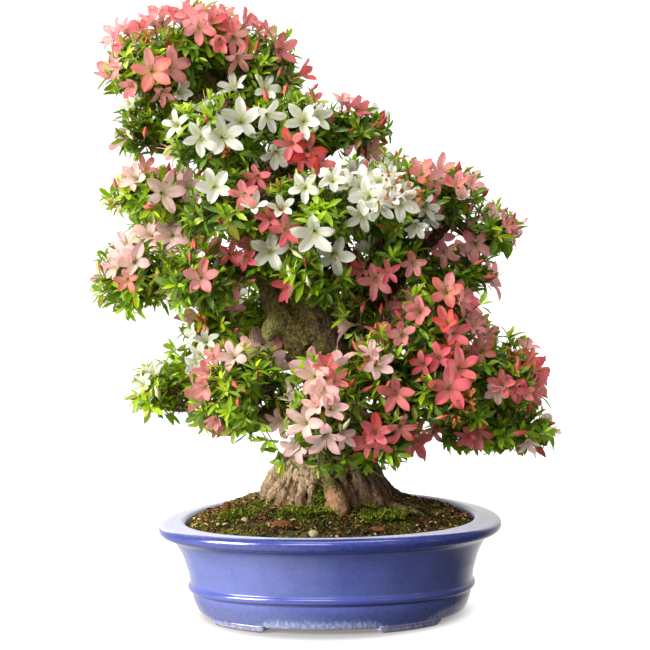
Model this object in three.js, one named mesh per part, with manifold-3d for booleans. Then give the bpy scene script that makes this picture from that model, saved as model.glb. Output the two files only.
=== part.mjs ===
// Satsuki azalea bonsai in flower, in an oval blue-glazed pot.
// Units: millimetres. +Z up, +X to the viewer's right, -Y toward the viewer.
// Origin: the middle of the pot's footprint, on the surface that the feet stand on.

import * as THREE from 'three';
import { LoftGeometry } from 'three/addons/geometries/LoftGeometry.js';
import { ConvexGeometry } from 'three/addons/geometries/ConvexGeometry.js';
import { mergeVertices } from 'three/addons/utils/BufferGeometryUtils.js';
import Module from 'manifold-3d';

// ---------------------------------------------------------------- dimensions

const GAP = 0.35;              // clearance kept between touching pieces
const POT_LENGTH = 398;        // over the lip, along X
const POT_DEPTH = 304;         // over the lip, along Y
const POT_HEIGHT = 115.5;      // to the top of the lip at front and back
const LIP_DROOP = 6;           // the lip and the band sit this much lower at the two ends
const OVAL_POWER = 2.04;       // superellipse power of the plan outline
const FOOT_HEIGHT = 6.5;
const FOOT_WIDTH = 15;         // radial width of a foot
const FOOT_FROM = 24;          // a foot runs from this angle off the front or back ...
const FOOT_TO = 57;            // ... to this one
const DRAIN_RADIUS = 14;
const DRAIN_OFFSET = 62;       // drain holes lie on X at plus and minus this
const FLOOR_Z = 15;            // upper face of the pot's floor
const MESH_SIZE = 40;          // drain mesh, square
const MESH_THICKNESS = 1.6;
const WIRE_RADIUS = 0.9;       // staple that holds a drain mesh
const SOIL_CROWN = 133;        // soil height round the trunk
const BLOOM_RADIUS = 22;       // an open flower, centre to lobe tip
const BLOOM_LENGTH = 30;

// ---------------------------------------------------------------- materials

const mat = ( color, roughness, metalness = 0 ) => new THREE.MeshStandardMaterial( { color, roughness, metalness } );
const M = {
	glaze: mat( 0x5561a8, 0.14 ),
	plastic: mat( 0x1b1c1b, 0.6 ),
	wire: mat( 0x8a6a4a, 0.4, 0.9 ),
	soil: mat( 0x3a2a1c, 0.95 ),
	bark: mat( 0x6a5138, 0.9 ),
	moss: mat( 0x5f7a22, 0.95 ),
	stone: mat( 0xb9b48e, 0.85 ),
	chip: mat( 0x6b3f26, 0.9 ),
	leaf: mat( 0x3f6d22, 0.55 ),
	white: mat( 0xf4f2e6, 0.6 ),
	pale: mat( 0xf6cfd0, 0.6 ),
	pink: mat( 0xe98a98, 0.6 ),
	salmon: mat( 0xe8696b, 0.6 ),
};

// ---------------------------------------------------------------- booleans

const wasm = await Module();
wasm.setup();

function solid( geometry ) {

	const g = new THREE.BufferGeometry().copy( geometry );
	for ( const name of Object.keys( g.attributes ) ) if ( name !== 'position' ) g.deleteAttribute( name );
	g.morphAttributes = {};
	const m = mergeVertices( g.index ? g.toNonIndexed() : g, 1e-4 );
	const index = m.index.array, keep = [];
	for ( let i = 0; i < index.length; i += 3 ) {

		const [ a, b, c ] = [ index[ i ], index[ i + 1 ], index[ i + 2 ] ];
		if ( a !== b && b !== c && a !== c ) keep.push( a, b, c );

	}

	return new wasm.Manifold( new wasm.Mesh( {
		numProp: 3,
		vertProperties: new Float32Array( m.attributes.position.array ),
		triVerts: new Uint32Array( keep ),
	} ) );

}

function largest( s ) {

	const parts = s.decompose();
	parts.sort( ( a, b ) => b.volume() - a.volume() );
	return parts[ 0 ];

}

function geometryOf( s ) {

	const m = s.getMesh(), n = m.numProp, position = new Float32Array( m.vertProperties.length / n * 3 );
	for ( let i = 0; i < position.length / 3; i ++ ) for ( let k = 0; k < 3; k ++ ) position[ 3 * i + k ] = m.vertProperties[ n * i + k ];
	const g = new THREE.BufferGeometry();
	g.setAttribute( 'position', new THREE.BufferAttribute( position, 3 ) );
	g.setIndex( new THREE.BufferAttribute( new Uint32Array( m.triVerts ), 1 ) );
	g.computeVertexNormals();
	return g;

}

const group = new THREE.Group();
function piece( name, shape, material, at = null ) {

	const geometry = shape.isBufferGeometry ? shape : geometryOf( shape );
	const mesh = new THREE.Mesh( geometry, material );
	mesh.name = name;
	if ( at ) mesh.position.copy( at );
	group.add( mesh );
	return mesh;

}

// ---------------------------------------------------------------- helpers

const rad = ( d ) => d * Math.PI / 180;
const sgnPow = ( v, p ) => Math.sign( v ) * Math.abs( v ) ** p;

// A point of the oval plan outline, at parameter t.
function oval( a, b, t ) {

	const p = 2 / OVAL_POWER;
	return [ a * sgnPow( Math.cos( t ), p ), b * sgnPow( Math.sin( t ), p ) ];

}

// A ring of the oval, at height z along the long sides and z - drop at the ends.
function ring( a, b, z, drop, n = 36 ) {

	const points = [];
	for ( let i = 0; i < n; i ++ ) {

		const t = i / n * 2 * Math.PI + Math.PI / n;
		const [ x, y ] = oval( a, b, t );
		points.push( new THREE.Vector3( x, y, z - drop * Math.cos( t ) ** 2 ) );

	}

	return points;

}

// A tapered limb through points [ x, y, z, radius ], closed at both ends.
function limb( points, sides = 8, grow = 0, lobes = null, between = 1 ) {

	const curve = new THREE.CatmullRomCurve3( points.map( ( p ) => new THREE.Vector3( p[ 0 ], p[ 1 ], p[ 2 ] ) ), false, 'centripetal' );
	const steps = ( points.length - 1 ) * between;
	const sections = [];
	let u = null;
	for ( let i = 0; i <= steps; i ++ ) {

		const s = i / steps, c = curve.getPoint( s ), tangent = curve.getTangent( s );
		if ( ! u ) {

			u = new THREE.Vector3( 1, 0, 0 );
			if ( Math.abs( tangent.x ) > 0.8 ) u.set( 0, 1, 0 );

		}

		u.addScaledVector( tangent, - u.dot( tangent ) ).normalize();
		const v = new THREE.Vector3().crossVectors( tangent, u );
		const f = s * ( points.length - 1 ), k = Math.min( Math.floor( f ), points.length - 2 );
		const r = points[ k ][ 3 ] + ( points[ k + 1 ][ 3 ] - points[ k ][ 3 ] ) * ( f - k ) + grow;
		if ( grow && i === 0 ) c.addScaledVector( tangent, - grow );
		if ( grow && i === steps ) c.addScaledVector( tangent, grow );
		const section = [];
		for ( let j = 0; j < sides; j ++ ) {

			const a = j / sides * 2 * Math.PI;
			const rr = r * ( lobes ? lobes( a, s ) : 1 );
			section.push( new THREE.Vector3().copy( c ).addScaledVector( u, Math.cos( a ) * rr ).addScaledVector( v, Math.sin( a ) * rr ) );

		}

		sections.push( section );

	}

	return solid( new LoftGeometry( sections, { capStart: true, capEnd: true } ) );

}

// A lumpy ellipsoid.
function blob( x, y, z, rx, ry, rz, grow = 0, detail = 2, seed = 1, lump = 0.07 ) {

	const g = new THREE.IcosahedronGeometry( 1, detail );
	const p = g.attributes.position, v = new THREE.Vector3();
	for ( let i = 0; i < p.count; i ++ ) {

		v.fromBufferAttribute( p, i );
		const w = Math.sin( 3.1 * v.x + seed ) * Math.sin( 3.7 * v.y + 2.3 * seed ) + Math.sin( 4.3 * v.z - 1.7 * seed ) * Math.cos( 2.9 * v.x - seed );
		const k = 1 + lump * w;
		const flat = v.z < 0 ? 0.82 : 1;
		p.setXYZ( i, x + v.x * ( rx * k + grow ), y + v.y * ( ry * k + grow ), z + v.z * ( rz * k * flat + grow ) );

	}

	return solid( g );

}

// ---------------------------------------------------------------- pot

const A = POT_LENGTH / 2, B = POT_DEPTH / 2, H = POT_HEIGHT, D = LIP_DROOP;
const potOutside = [
	[ A - 44, B - 38, FOOT_HEIGHT, 0 ],
	[ A - 38.5, B - 33, 20, 3 ],
	[ A - 36.8, B - 32, 33.5, D ],
	[ A - 34, B - 29.4, 36.5, D ],
	[ A - 33.6, B - 29, 41, D ],
	[ A - 33.2, B - 28.8, 52, D ],
	[ A - 27.5, B - 23.5, 76, D ],
	[ A - 21, B - 17.5, 89, D ],
	[ A - 15.5, B - 12, 97, D ],
	[ A - 5.5, B - 4, 101, D ],
	[ A - 1.2, B - 1.2, 104, D ],
	[ A, B, 107.5, D ],
	[ A - 1, B - 1, 111.5, D ],
	[ A - 4, B - 3.5, 113.6, D ],
];
const potInside = [
	[ A - 28, B - 12.5, H, D - 2 ],
	[ A - 31, B - 15, H - 2.5, D - 2 ],
	[ A - 34, B - 18, H - 10, D - 2 ],
	[ A - 41, B - 28, 86, D - 2 ],
	[ A - 45, B - 38, 45, 2 ],
	[ A - 50, B - 44, FLOOR_Z + 3, 0 ],
	[ A - 55, B - 49, FLOOR_Z, 0 ],
];
// The inner floor closes to its middle point.
let pot = solid( new LoftGeometry( [ ...[ ...potOutside, ...potInside ].map( ( q ) => ring( ...q ) ), ring( 0, 0, FLOOR_Z, 0 ) ], { capStart: true } ) );

for ( const side of [ - 1, 1 ] ) {

	const hole = new THREE.CylinderGeometry( DRAIN_RADIUS, DRAIN_RADIUS, 30, 24 );
	hole.rotateX( Math.PI / 2 );
	hole.translate( side * DRAIN_OFFSET, 0, FLOOR_Z - 5 );
	pot = pot.subtract( solid( hole ) );

}

// Four feet, each a curved bar under the wall, with the gaps at front, back and both ends.
for ( const [ sx, sy ] of [ [ 1, - 1 ], [ - 1, - 1 ], [ 1, 1 ], [ - 1, 1 ] ] ) {

	const outer = [], inner = [], outerLow = [], innerLow = [];
	const steps = 7;
	for ( let i = 0; i <= steps; i ++ ) {

		const t = rad( 90 - FOOT_FROM - ( FOOT_TO - FOOT_FROM ) * i / steps );
		const [ ox, oy ] = oval( A - 43, B - 37, t );
		const l = Math.hypot( ox, oy );
		const end = i === 0 || i === steps ? 1 : 0;
		const lo = ( l - 1.8 ) / l, li = ( l - FOOT_WIDTH + end ) / l, lii = ( l - FOOT_WIDTH + 2 ) / l;
		outer.push( new THREE.Vector2( sx * ox, sy * oy ) );
		inner.push( new THREE.Vector2( sx * ox * li, sy * oy * li ) );
		outerLow.push( new THREE.Vector2( sx * ox * lo, sy * oy * lo ) );
		innerLow.push( new THREE.Vector2( sx * ox * lii, sy * oy * lii ) );

	}

	const loop = ( o, n ) => {

		const pts = [ ...o, ...n.slice().reverse() ];
		return sx * sy > 0 ? pts.reverse() : pts;

	};

	const top = loop( outer, inner ), low = loop( outerLow, innerLow );
	const at = ( pts, z ) => pts.map( ( p ) => new THREE.Vector3( p.x, p.y, z ) );
	pot = pot.add( solid( new LoftGeometry( [ at( low, 0 ), at( top, FOOT_HEIGHT - 1 ), at( top, FOOT_HEIGHT + 1.5 ) ], { capStart: true, capEnd: true } ) ) );

}

piece( 'pot', pot, M.glaze );

// ---------------------------------------------------------------- drain meshes and their staples

for ( const [ side, word ] of [ [ - 1, 'left' ], [ 1, 'right' ] ] ) {

	let mesh = solid( new THREE.BoxGeometry( MESH_SIZE, MESH_SIZE, MESH_THICKNESS ) );
	for ( let i = - 1; i <= 1; i ++ ) for ( let j = - 1; j <= 1; j ++ ) {

		const window = new THREE.BoxGeometry( 9, 9, 10 );
		window.translate( i * 11, j * 11, 0 );
		mesh = mesh.subtract( solid( window ) );

	}

	piece( `drain_mesh_${word}`, mesh, M.plastic, new THREE.Vector3( side * DRAIN_OFFSET, 0, FLOOR_Z + GAP + MESH_THICKNESS / 2 ) );

	// The staple lies across the mesh, goes down through two of its holes and the drain hole,
	// and its ends turn out under the pot's floor.
	const topZ = FLOOR_Z + GAP + MESH_THICKNESS + GAP + WIRE_RADIUS, lowZ = FOOT_HEIGHT - GAP - WIRE_RADIUS - 0.5;
	const pts = [ [ - 24, lowZ ], [ - 13.4, lowZ ], [ - 11.4, lowZ + 2.2 ], [ - 11, topZ - 2 ], [ - 9, topZ ], [ 9, topZ ], [ 11, topZ - 2 ], [ 11.4, lowZ + 2.2 ], [ 13.4, lowZ ], [ 24, lowZ ] ];
	const wire = limb( pts.map( ( p ) => [ p[ 0 ], 0, p[ 1 ], WIRE_RADIUS ] ), 8 );
	piece( `mesh_staple_${word}`, wire, M.wire, new THREE.Vector3( side * DRAIN_OFFSET, 0, 0 ) );

}

// ---------------------------------------------------------------- trunk with surface roots and limbs

const fluting = ( a, s ) => 1 + ( 1 - s ) ** 1.5 * ( 0.10 * Math.cos( 5 * a + 0.6 ) + 0.05 * Math.cos( 9 * a + 2 ) );

const TRUNK = [
	[ 0, 2, 118, 62 ], [ - 3, 2, 138, 60 ], [ - 4, 3, 158, 56 ], [ 1, 4, 186, 47 ], [ 7, 6, 220, 39 ], [ 8, 8, 262, 34 ],
	[ 3, 8, 302, 32 ], [ - 8, 8, 338, 29 ], [ - 26, 10, 372, 25 ], [ - 48, 14, 408, 21 ], [ - 68, 14, 452, 18 ], [ - 84, 10, 498, 15 ],
	[ - 98, 6, 548, 12 ], [ - 114, 8, 594, 9.5 ], [ - 126, 8, 628, 7 ], [ - 132, 8, 650, 5 ],
];

const LIMBS = [
	// surface roots: left fan, blunt front root, right buttress, back
	{ pts: [ [ - 30, - 10, 152, 26 ], [ - 62, - 16, 138, 19 ], [ - 84, - 20, 127, 11 ], [ - 100, - 22, 119, 6 ] ], sides: 7 },
	{ pts: [ [ - 28, - 28, 150, 22 ], [ - 52, - 44, 136, 15 ], [ - 70, - 60, 125, 9 ], [ - 80, - 70, 118, 5 ] ], sides: 6 },
	{ pts: [ [ - 8, - 34, 152, 19 ], [ - 18, - 54, 138, 13 ], [ - 26, - 70, 125, 8 ], [ - 30, - 80, 118, 5 ] ], sides: 6 },
	{ pts: [ [ 6, - 34, 152, 18 ], [ 11, - 52, 141, 13.5 ], [ 14, - 66, 131, 12 ], [ 15, - 74, 122, 8 ] ], sides: 7 },
	{ pts: [ [ 26, - 24, 154, 23 ], [ 48, - 34, 142, 19 ], [ 66, - 42, 129, 13 ], [ 78, - 48, 118, 7 ] ], sides: 7 },
	{ pts: [ [ 30, 2, 154, 26 ], [ 58, - 2, 142, 18 ], [ 80, - 6, 129, 11 ], [ 96, - 10, 119, 5 ] ], sides: 7 },
	{ pts: [ [ 20, 28, 150, 22 ], [ 44, 46, 136, 15 ], [ 62, 60, 122, 8 ], [ 68, 66, 117, 5 ] ], sides: 6 },
	{ pts: [ [ - 6, 36, 150, 22 ], [ - 12, 58, 136, 14 ], [ - 16, 76, 121, 7 ] ], sides: 6 },
	{ pts: [ [ - 30, 22, 150, 22 ], [ - 56, 36, 137, 15 ], [ - 78, 48, 121, 8 ] ], sides: 6 },
	// mossy limb that rises beside the trunk on the left
	{ pts: [ [ - 18, - 4, 318, 20 ], [ - 44, - 10, 340, 15 ], [ - 59, - 12, 372, 13 ], [ - 66, - 10, 404, 11 ], [ - 84, - 22, 440, 9 ], [ - 88, - 40, 462, 7 ] ], sides: 6 },
	// lower left limb
	{ pts: [ [ - 8, - 8, 246, 20 ], [ - 40, - 22, 240, 14 ], [ - 76, - 36, 232, 11 ], [ - 104, - 42, 224, 9 ], [ - 128, - 38, 224, 6.5 ], [ - 156, - 28, 242, 4 ] ], sides: 6 },
	// left limbs
	{ pts: [ [ - 40, 8, 392, 15 ], [ - 84, - 4, 392, 10 ], [ - 124, - 6, 384, 8 ], [ - 172, - 8, 384, 5 ] ], sides: 7 },
	{ pts: [ [ - 72, 14, 462, 13 ], [ - 112, 4, 462, 9 ], [ - 152, - 8, 470, 5 ] ], sides: 7 },
	{ pts: [ [ - 92, 8, 524, 11 ], [ - 128, - 4, 530, 7.5 ], [ - 158, - 14, 540, 4.5 ] ], sides: 7 },
	{ pts: [ [ - 112, 8, 588, 8 ], [ - 142, 0, 600, 6 ], [ - 164, - 8, 610, 4 ] ], sides: 7 },
	// right limbs
	{ pts: [ [ 8, 10, 310, 22 ], [ 32, 12, 342, 17 ], [ 62, 10, 368, 14 ], [ 96, 8, 396, 10.5 ], [ 128, 6, 432, 8 ], [ 150, 6, 452, 5.5 ] ], sides: 6 },
	{ pts: [ [ 92, 8, 394, 10 ], [ 124, 12, 388, 8 ], [ 158, 14, 380, 5 ] ], sides: 7 },
	{ pts: [ [ 12, 8, 272, 22 ], [ 48, 6, 282, 16 ], [ 88, - 2, 282, 12 ], [ 132, - 4, 268, 9.5 ], [ 170, - 4, 252, 7 ], [ 196, 2, 236, 4.5 ] ], sides: 6 },
	{ pts: [ [ 90, - 2, 284, 11 ], [ 116, - 8, 306, 8 ], [ 134, - 18, 322, 5 ] ], sides: 7 },
	{ pts: [ [ - 74, 14, 470, 12 ], [ - 46, 4, 504, 9 ], [ - 34, - 8, 534, 6 ] ], sides: 7 },
	{ pts: [ [ - 44, 4, 506, 8 ], [ - 6, 10, 524, 6 ], [ 22, 10, 540, 4 ] ], sides: 7 },
	{ pts: [ [ 34, 12, 344, 13 ], [ 36, 2, 392, 10 ], [ 22, - 26, 432, 7 ] ], sides: 7 },
	{ pts: [ [ 60, 10, 368, 11 ], [ 68, - 4, 410, 8 ], [ 74, - 18, 438, 5 ] ], sides: 7 },
	// back limbs
	{ pts: [ [ 6, 22, 290, 18 ], [ 26, 60, 304, 11 ], [ 40, 92, 314, 6.5 ] ], sides: 7 },
	{ pts: [ [ - 4, 20, 298, 17 ], [ - 34, 56, 300, 10 ], [ - 50, 88, 300, 6 ] ], sides: 7 },
	{ pts: [ [ - 36, 18, 388, 14 ], [ - 60, 52, 420, 9 ], [ - 76, 80, 450, 5.5 ] ], sides: 7 },
];

function tree( grow ) {

	let s = limb( TRUNK, 12, grow, fluting );
	for ( const l of LIMBS ) s = s.add( limb( l.pts, l.sides, grow ) );
	return s;

}

const trunk = tree( 0 ), trunkRoom = tree( GAP + 0.25 );
piece( 'trunk', largest( trunk ), M.bark );

// ---------------------------------------------------------------- soil

const soilRing = ( a, b, z, drop ) => ring( a, b, z, drop );
function soilBody( grow ) {

	const g = GAP + 0.15;
	const sections = [
		soilRing( A - 56 - g, B - 50 - g, FLOOR_Z + g, 0 ),
		soilRing( A - 45 - g, B - 38 - g, 45, 2 ),
		soilRing( A - 41 - g, B - 28 - g, 86, D - 2 ),
		soilRing( A - 34 - g, B - 18 - g, H - 10, D - 2 ),
		soilRing( A - 37, B - 21, H - 3 + grow, D - 1 ),
		soilRing( A - 54, B - 34, H + 2.5 + grow, D - 2 ),
		soilRing( A - 78, B - 56, H + 7 + grow, 3 ),
		soilRing( A - 104, B - 80, SOIL_CROWN - 3.5 + grow, 1 ),
		soilRing( A - 130, B - 104, SOIL_CROWN + grow, 0 ),
		soilRing( A - 168, B - 128, SOIL_CROWN + 1.5 + grow, 0 ),
	];
	return solid( new LoftGeometry( sections, { capStart: true, capEnd: true } ) );

}

let soil = soilBody( 0 );
for ( const side of [ - 1, 1 ] ) {

	const room = new THREE.BoxGeometry( MESH_SIZE + 2, MESH_SIZE + 2, 12 );
	room.translate( side * DRAIN_OFFSET, 0, FLOOR_Z );
	soil = soil.subtract( solid( room ) );

}

soil = largest( soil.subtract( trunkRoom ) );
piece( 'soil', soil, M.soil );

const soilRoom = soilBody( GAP + 0.1 );

// ---------------------------------------------------------------- moss, pebbles and bark on the soil

// Height of the soil's surface at x, y.
function soilHeight( x, y ) {

	const steps = [ [ A - 37, B - 21, H - 3, D - 1 ], [ A - 54, B - 34, H + 2.5, D - 2 ], [ A - 78, B - 56, H + 7, 3 ], [ A - 104, B - 80, SOIL_CROWN - 3.5, 1 ], [ A - 130, B - 104, SOIL_CROWN, 0 ], [ A - 168, B - 128, SOIL_CROWN + 1.5, 0 ] ];
	const c2 = x * x / ( x * x + y * y * ( A / B ) ** 2 + 1e-9 );
	const inside = ( q ) => Math.hypot( x / q[ 0 ], y / q[ 1 ] );
	for ( let i = 0; i < steps.length - 1; i ++ ) {

		const o = inside( steps[ i ] ), n = inside( steps[ i + 1 ] );
		if ( o <= 1 && n >= 1 ) {

			const k = ( 1 - o ) / ( ( 1 - o ) + ( n - 1 ) + 1e-9 );
			const z0 = steps[ i ][ 2 ] - steps[ i ][ 3 ] * c2, z1 = steps[ i + 1 ][ 2 ] - steps[ i + 1 ][ 3 ] * c2;
			return z0 + ( z1 - z0 ) * k;

		}

	}

	return SOIL_CROWN + 1.5;

}

const LYING = [
	// name, x, y, radii, sink, material, seed
	[ 'moss_front', - 14, - 74, 30, 17, 7, 0, 'moss', 3 ],
	[ 'moss_left', - 94, - 44, 26, 20, 6, 0, 'moss', 5 ],
	[ 'moss_right', 62, - 68, 30, 20, 7, 0, 'moss', 7 ],
	[ 'moss_back', 14, 84, 36, 18, 6, 0, 'moss', 9 ],
	[ 'pebble_front', - 4, - 124, 6.5, 5, 5.5, 2, 'stone', 11 ],
	[ 'pebble_right', 86, - 58, 5.5, 4.5, 4.5, 2, 'stone', 13 ],
	[ 'pebble_left', - 88, - 70, 4.5, 4, 4, 2, 'stone', 15 ],
	[ 'bark_chip_front', - 42, - 96, 13, 6, 4, 1.5, 'chip', 17 ],
	[ 'bark_chip_left', - 118, - 14, 5, 4, 9, 4, 'chip', 19 ],
	[ 'bark_flake_right', 66, - 106, 9, 5, 3, 1, 'chip', 21 ],
];
let lying = null;
for ( const [ name, x, y, rx, ry, rz, lift, material, seed ] of LYING ) {

	const z = soilHeight( x, y ) + lift;
	let s = blob( x, y, z, rx, ry, rz, 0, material === 'moss' ? 2 : 1, seed, 0.09 ).subtract( soilRoom ).subtract( trunkRoom );
	if ( lying ) s = s.subtract( lying );
	s = largest( s );
	const room = blob( x, y, z, rx, ry, rz, GAP + 0.1, material === 'moss' ? 2 : 1, seed, 0.09 );
	lying = lying ? lying.add( room ) : room;
	piece( name, s, M[ material ] );

}

// ---------------------------------------------------------------- pads of shoots, leaves and flowers

const PADS = [
	// name, centre x y z, half-sizes along x y z
	[ 'apex_left', - 190, - 15, 628, 53, 54, 53 ],
	[ 'apex_middle', - 132, 8, 654, 56, 62, 52 ],
	[ 'apex_right', - 76, 22, 624, 52, 56, 52 ],
	[ 'upper_left', - 184, - 20, 560, 44, 50, 34 ],
	[ 'upper_middle', - 115, - 48, 548, 54, 54, 46 ],
	[ 'upper_right', - 30, - 28, 558, 52, 54, 47 ],
	[ 'shoulder_right', 36, 10, 556, 42, 46, 31 ],
	[ 'left_middle', - 197, - 15, 491, 50, 56, 32 ],
	[ 'centre_left', - 90, - 72, 472, 58, 54, 44 ],
	[ 'centre', 0, - 64, 462, 52, 56, 54 ],
	[ 'left_low', - 217, - 10, 393, 52, 56, 45 ],
	[ 'left_inner', - 130, - 58, 396, 50, 48, 40 ],
	[ 'right_middle', 84, - 37, 474, 54, 62, 48 ],
	[ 'right_upper', 143, 5, 478, 48, 56, 41 ],
	[ 'right_far', 199, 18, 440, 32, 38, 28 ],
	[ 'right_inner', 82, - 6, 398, 54, 58, 39 ],
	[ 'right_end', 158, 10, 390, 44, 50, 32 ],
	[ 'lower_right_upper', 133, - 34, 340, 50, 54, 40 ],
	[ 'lower_right_end', 205, - 8, 273, 52, 60, 45 ],
	[ 'lower_right_front', 138, - 60, 264, 54, 52, 46 ],
	[ 'lower_right_skirt', 191, 10, 208, 76, 58, 31 ],
	[ 'lower_right_inner', 76, - 68, 288, 44, 50, 48 ],
	[ 'lower_centre', 10, - 96, 250, 42, 44, 64 ],
	[ 'lower_left', - 88, - 62, 272, 57, 54, 52 ],
	[ 'lower_left_end', - 184, - 20, 263, 44, 44, 34 ],
	[ 'left_spur', - 126, 4, 334, 36, 42, 30 ],
	[ 'back_apex', - 136, 84, 596, 64, 44, 52 ],
	[ 'back_left', - 188, 90, 468, 52, 48, 54 ],
	[ 'back_middle', - 84, 100, 486, 66, 50, 60 ],
	[ 'back_right', 50, 96, 472, 66, 52, 54 ],
	[ 'back_right_low', 132, 94, 330, 52, 52, 60 ],
	[ 'back_centre', 40, 112, 340, 56, 48, 54 ],
	[ 'back_left_low', - 84, 106, 328, 64, 50, 56 ],
	[ 'centre_low', 2, - 60, 392, 44, 44, 29 ],
	[ 'right_core', 58, - 14, 338, 40, 42, 34 ],
	[ 'lower_right_centre', 78, - 76, 214, 42, 44, 42 ],
	[ 'left_core', - 62, - 44, 412, 36, 40, 32 ],
];

// ---------------------------------------------------------------- blooms that stand out from the pads

// A funnel flower with five lobes: a closed skin. The tube's foot is at the local origin, opening along +Z.
function bloomGeometry( radius, length ) {

	const n = 10;
	const star = ( r, cup ) => {

		const pts = [];
		for ( let j = 0; j < n; j ++ ) {

			const a = j / n * 2 * Math.PI, lobe = 0.5 + 0.5 * Math.cos( 5 * a ), k = r * ( 1 - cup * ( 1 - lobe ) );
			pts.push( new THREE.Vector2( Math.cos( a ) * k, Math.sin( a ) * k ) );

		}

		return pts;

	};

	const at = ( pts, z ) => pts.map( ( p ) => new THREE.Vector3( p.x, p.y, z ) );
	return new LoftGeometry( [
		at( star( 1.8, 0 ), 0 ), at( star( 4.6, 0 ), length * 0.4 ), at( star( 10, 0.15 ), length * 0.72 ), at( star( radius, 0.45 ), length ),
		at( star( radius - 1.5, 0.45 ), length + 1.1 ), at( star( 8.6, 0.15 ), length * 0.78 ), at( star( 2.4, 0 ), length * 0.42 ), at( star( 0, 0 ), length * 0.42 ),
	], { capStart: true } );

}

const BLOOMS = [
	// name, pad that carries it, direction from the pad's middle, material
	[ 'bloom_apex_pink', 'apex_left', [ 0.25, - 1, 0 ], 'pink' ],
	[ 'bloom_upper_white', 'upper_middle', [ 0.45, - 1, 0.1 ], 'white' ],
	[ 'bloom_left_pale', 'left_middle', [ 0.5, - 1, 0.05 ], 'pale' ],
	[ 'bloom_centre_white', 'centre', [ 0.1, - 1, - 0.35 ], 'white' ],
	[ 'bloom_right_salmon', 'lower_right_front', [ 0.2, - 1, 0.2 ], 'salmon' ],
	[ 'bloom_low_pale', 'lower_centre', [ 0.1, - 1, - 0.7 ], 'pale' ],
];
let bloomRoom = null;
for ( const [ name, pad, dir, material ] of BLOOMS ) {

	const [ , x, y, z, rx, ry, rz ] = PADS.find( ( p ) => p[ 0 ] === pad );
	const d = new THREE.Vector3( ...dir ).normalize();
	const reach = 1 / Math.hypot( d.x / rx, d.y / ry, d.z / rz ) - 14;
	const q = new THREE.Quaternion().setFromUnitVectors( new THREE.Vector3( 0, 0, 1 ), d );
	const place = ( g ) => {

		g.applyQuaternion( q );
		g.translate( x + d.x * reach, y + d.y * reach, z + d.z * reach );
		return g;

	};

	piece( name, solid( place( bloomGeometry( BLOOM_RADIUS, BLOOM_LENGTH ) ) ), M[ material ] );
	const p = bloomGeometry( BLOOM_RADIUS + 0.8, BLOOM_LENGTH ).attributes.position, pts = [];
	for ( let i = 0; i < p.count; i ++ ) pts.push( new THREE.Vector3( p.getX( i ) * 1.06, p.getY( i ) * 1.06, p.getZ( i ) + ( p.getZ( i ) > 4 ? 0.6 : - 0.8 ) ) );
	const room = solid( place( new ConvexGeometry( pts ) ) );
	bloomRoom = bloomRoom ? bloomRoom.add( room ) : room;

}

let taken = trunkRoom.add( bloomRoom );
PADS.forEach( ( [ name, x, y, z, rx, ry, rz ], i ) => {

	const detail = name.startsWith( 'back' ) || rx < 51 ? 1 : 2;
	const s = blob( x, y, z, rx, ry, rz, 0, detail, i * 1.7 + 1 ).subtract( taken );
	piece( `pad_${name}`, largest( s ), M.leaf );
	taken = taken.add( blob( x, y, z, rx, ry, rz, GAP + 0.1, detail, i * 1.7 + 1 ) );

} );

export default group;
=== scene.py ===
"""Satsuki azalea bonsai in flower, in an oval blue-glazed pot.

Metres, +Z up, -Y toward the viewer. Lengths in the tables below are millimetres.
"""

import math

import bmesh
import bpy
import numpy as np
from mathutils import Matrix, Vector


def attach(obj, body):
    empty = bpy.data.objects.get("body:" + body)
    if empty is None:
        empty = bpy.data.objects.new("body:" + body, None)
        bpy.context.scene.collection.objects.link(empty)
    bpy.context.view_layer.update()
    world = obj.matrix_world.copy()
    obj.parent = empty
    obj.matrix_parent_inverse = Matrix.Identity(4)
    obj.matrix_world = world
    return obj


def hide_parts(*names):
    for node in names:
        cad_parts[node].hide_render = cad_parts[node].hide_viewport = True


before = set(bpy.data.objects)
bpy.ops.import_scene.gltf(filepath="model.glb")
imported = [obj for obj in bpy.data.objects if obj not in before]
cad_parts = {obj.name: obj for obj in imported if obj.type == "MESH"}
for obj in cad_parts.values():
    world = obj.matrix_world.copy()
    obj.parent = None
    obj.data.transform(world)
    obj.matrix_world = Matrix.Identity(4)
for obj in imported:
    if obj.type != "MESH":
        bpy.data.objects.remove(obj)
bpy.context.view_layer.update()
MM = 0.001

# ------------------------------------------------------------------ tables shared with the CAD model

A, B, H, D = 199.0, 152.0, 115.5, 6.0
POWER = 2.04
FOOT_HEIGHT, FOOT_WIDTH, FOOT_FROM, FOOT_TO = 6.5, 15.0, 24.0, 57.0
DRAIN_RADIUS, DRAIN_OFFSET, FLOOR_Z = 14.0, 62.0, 15.0
SOIL_CROWN = 133.0

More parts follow.
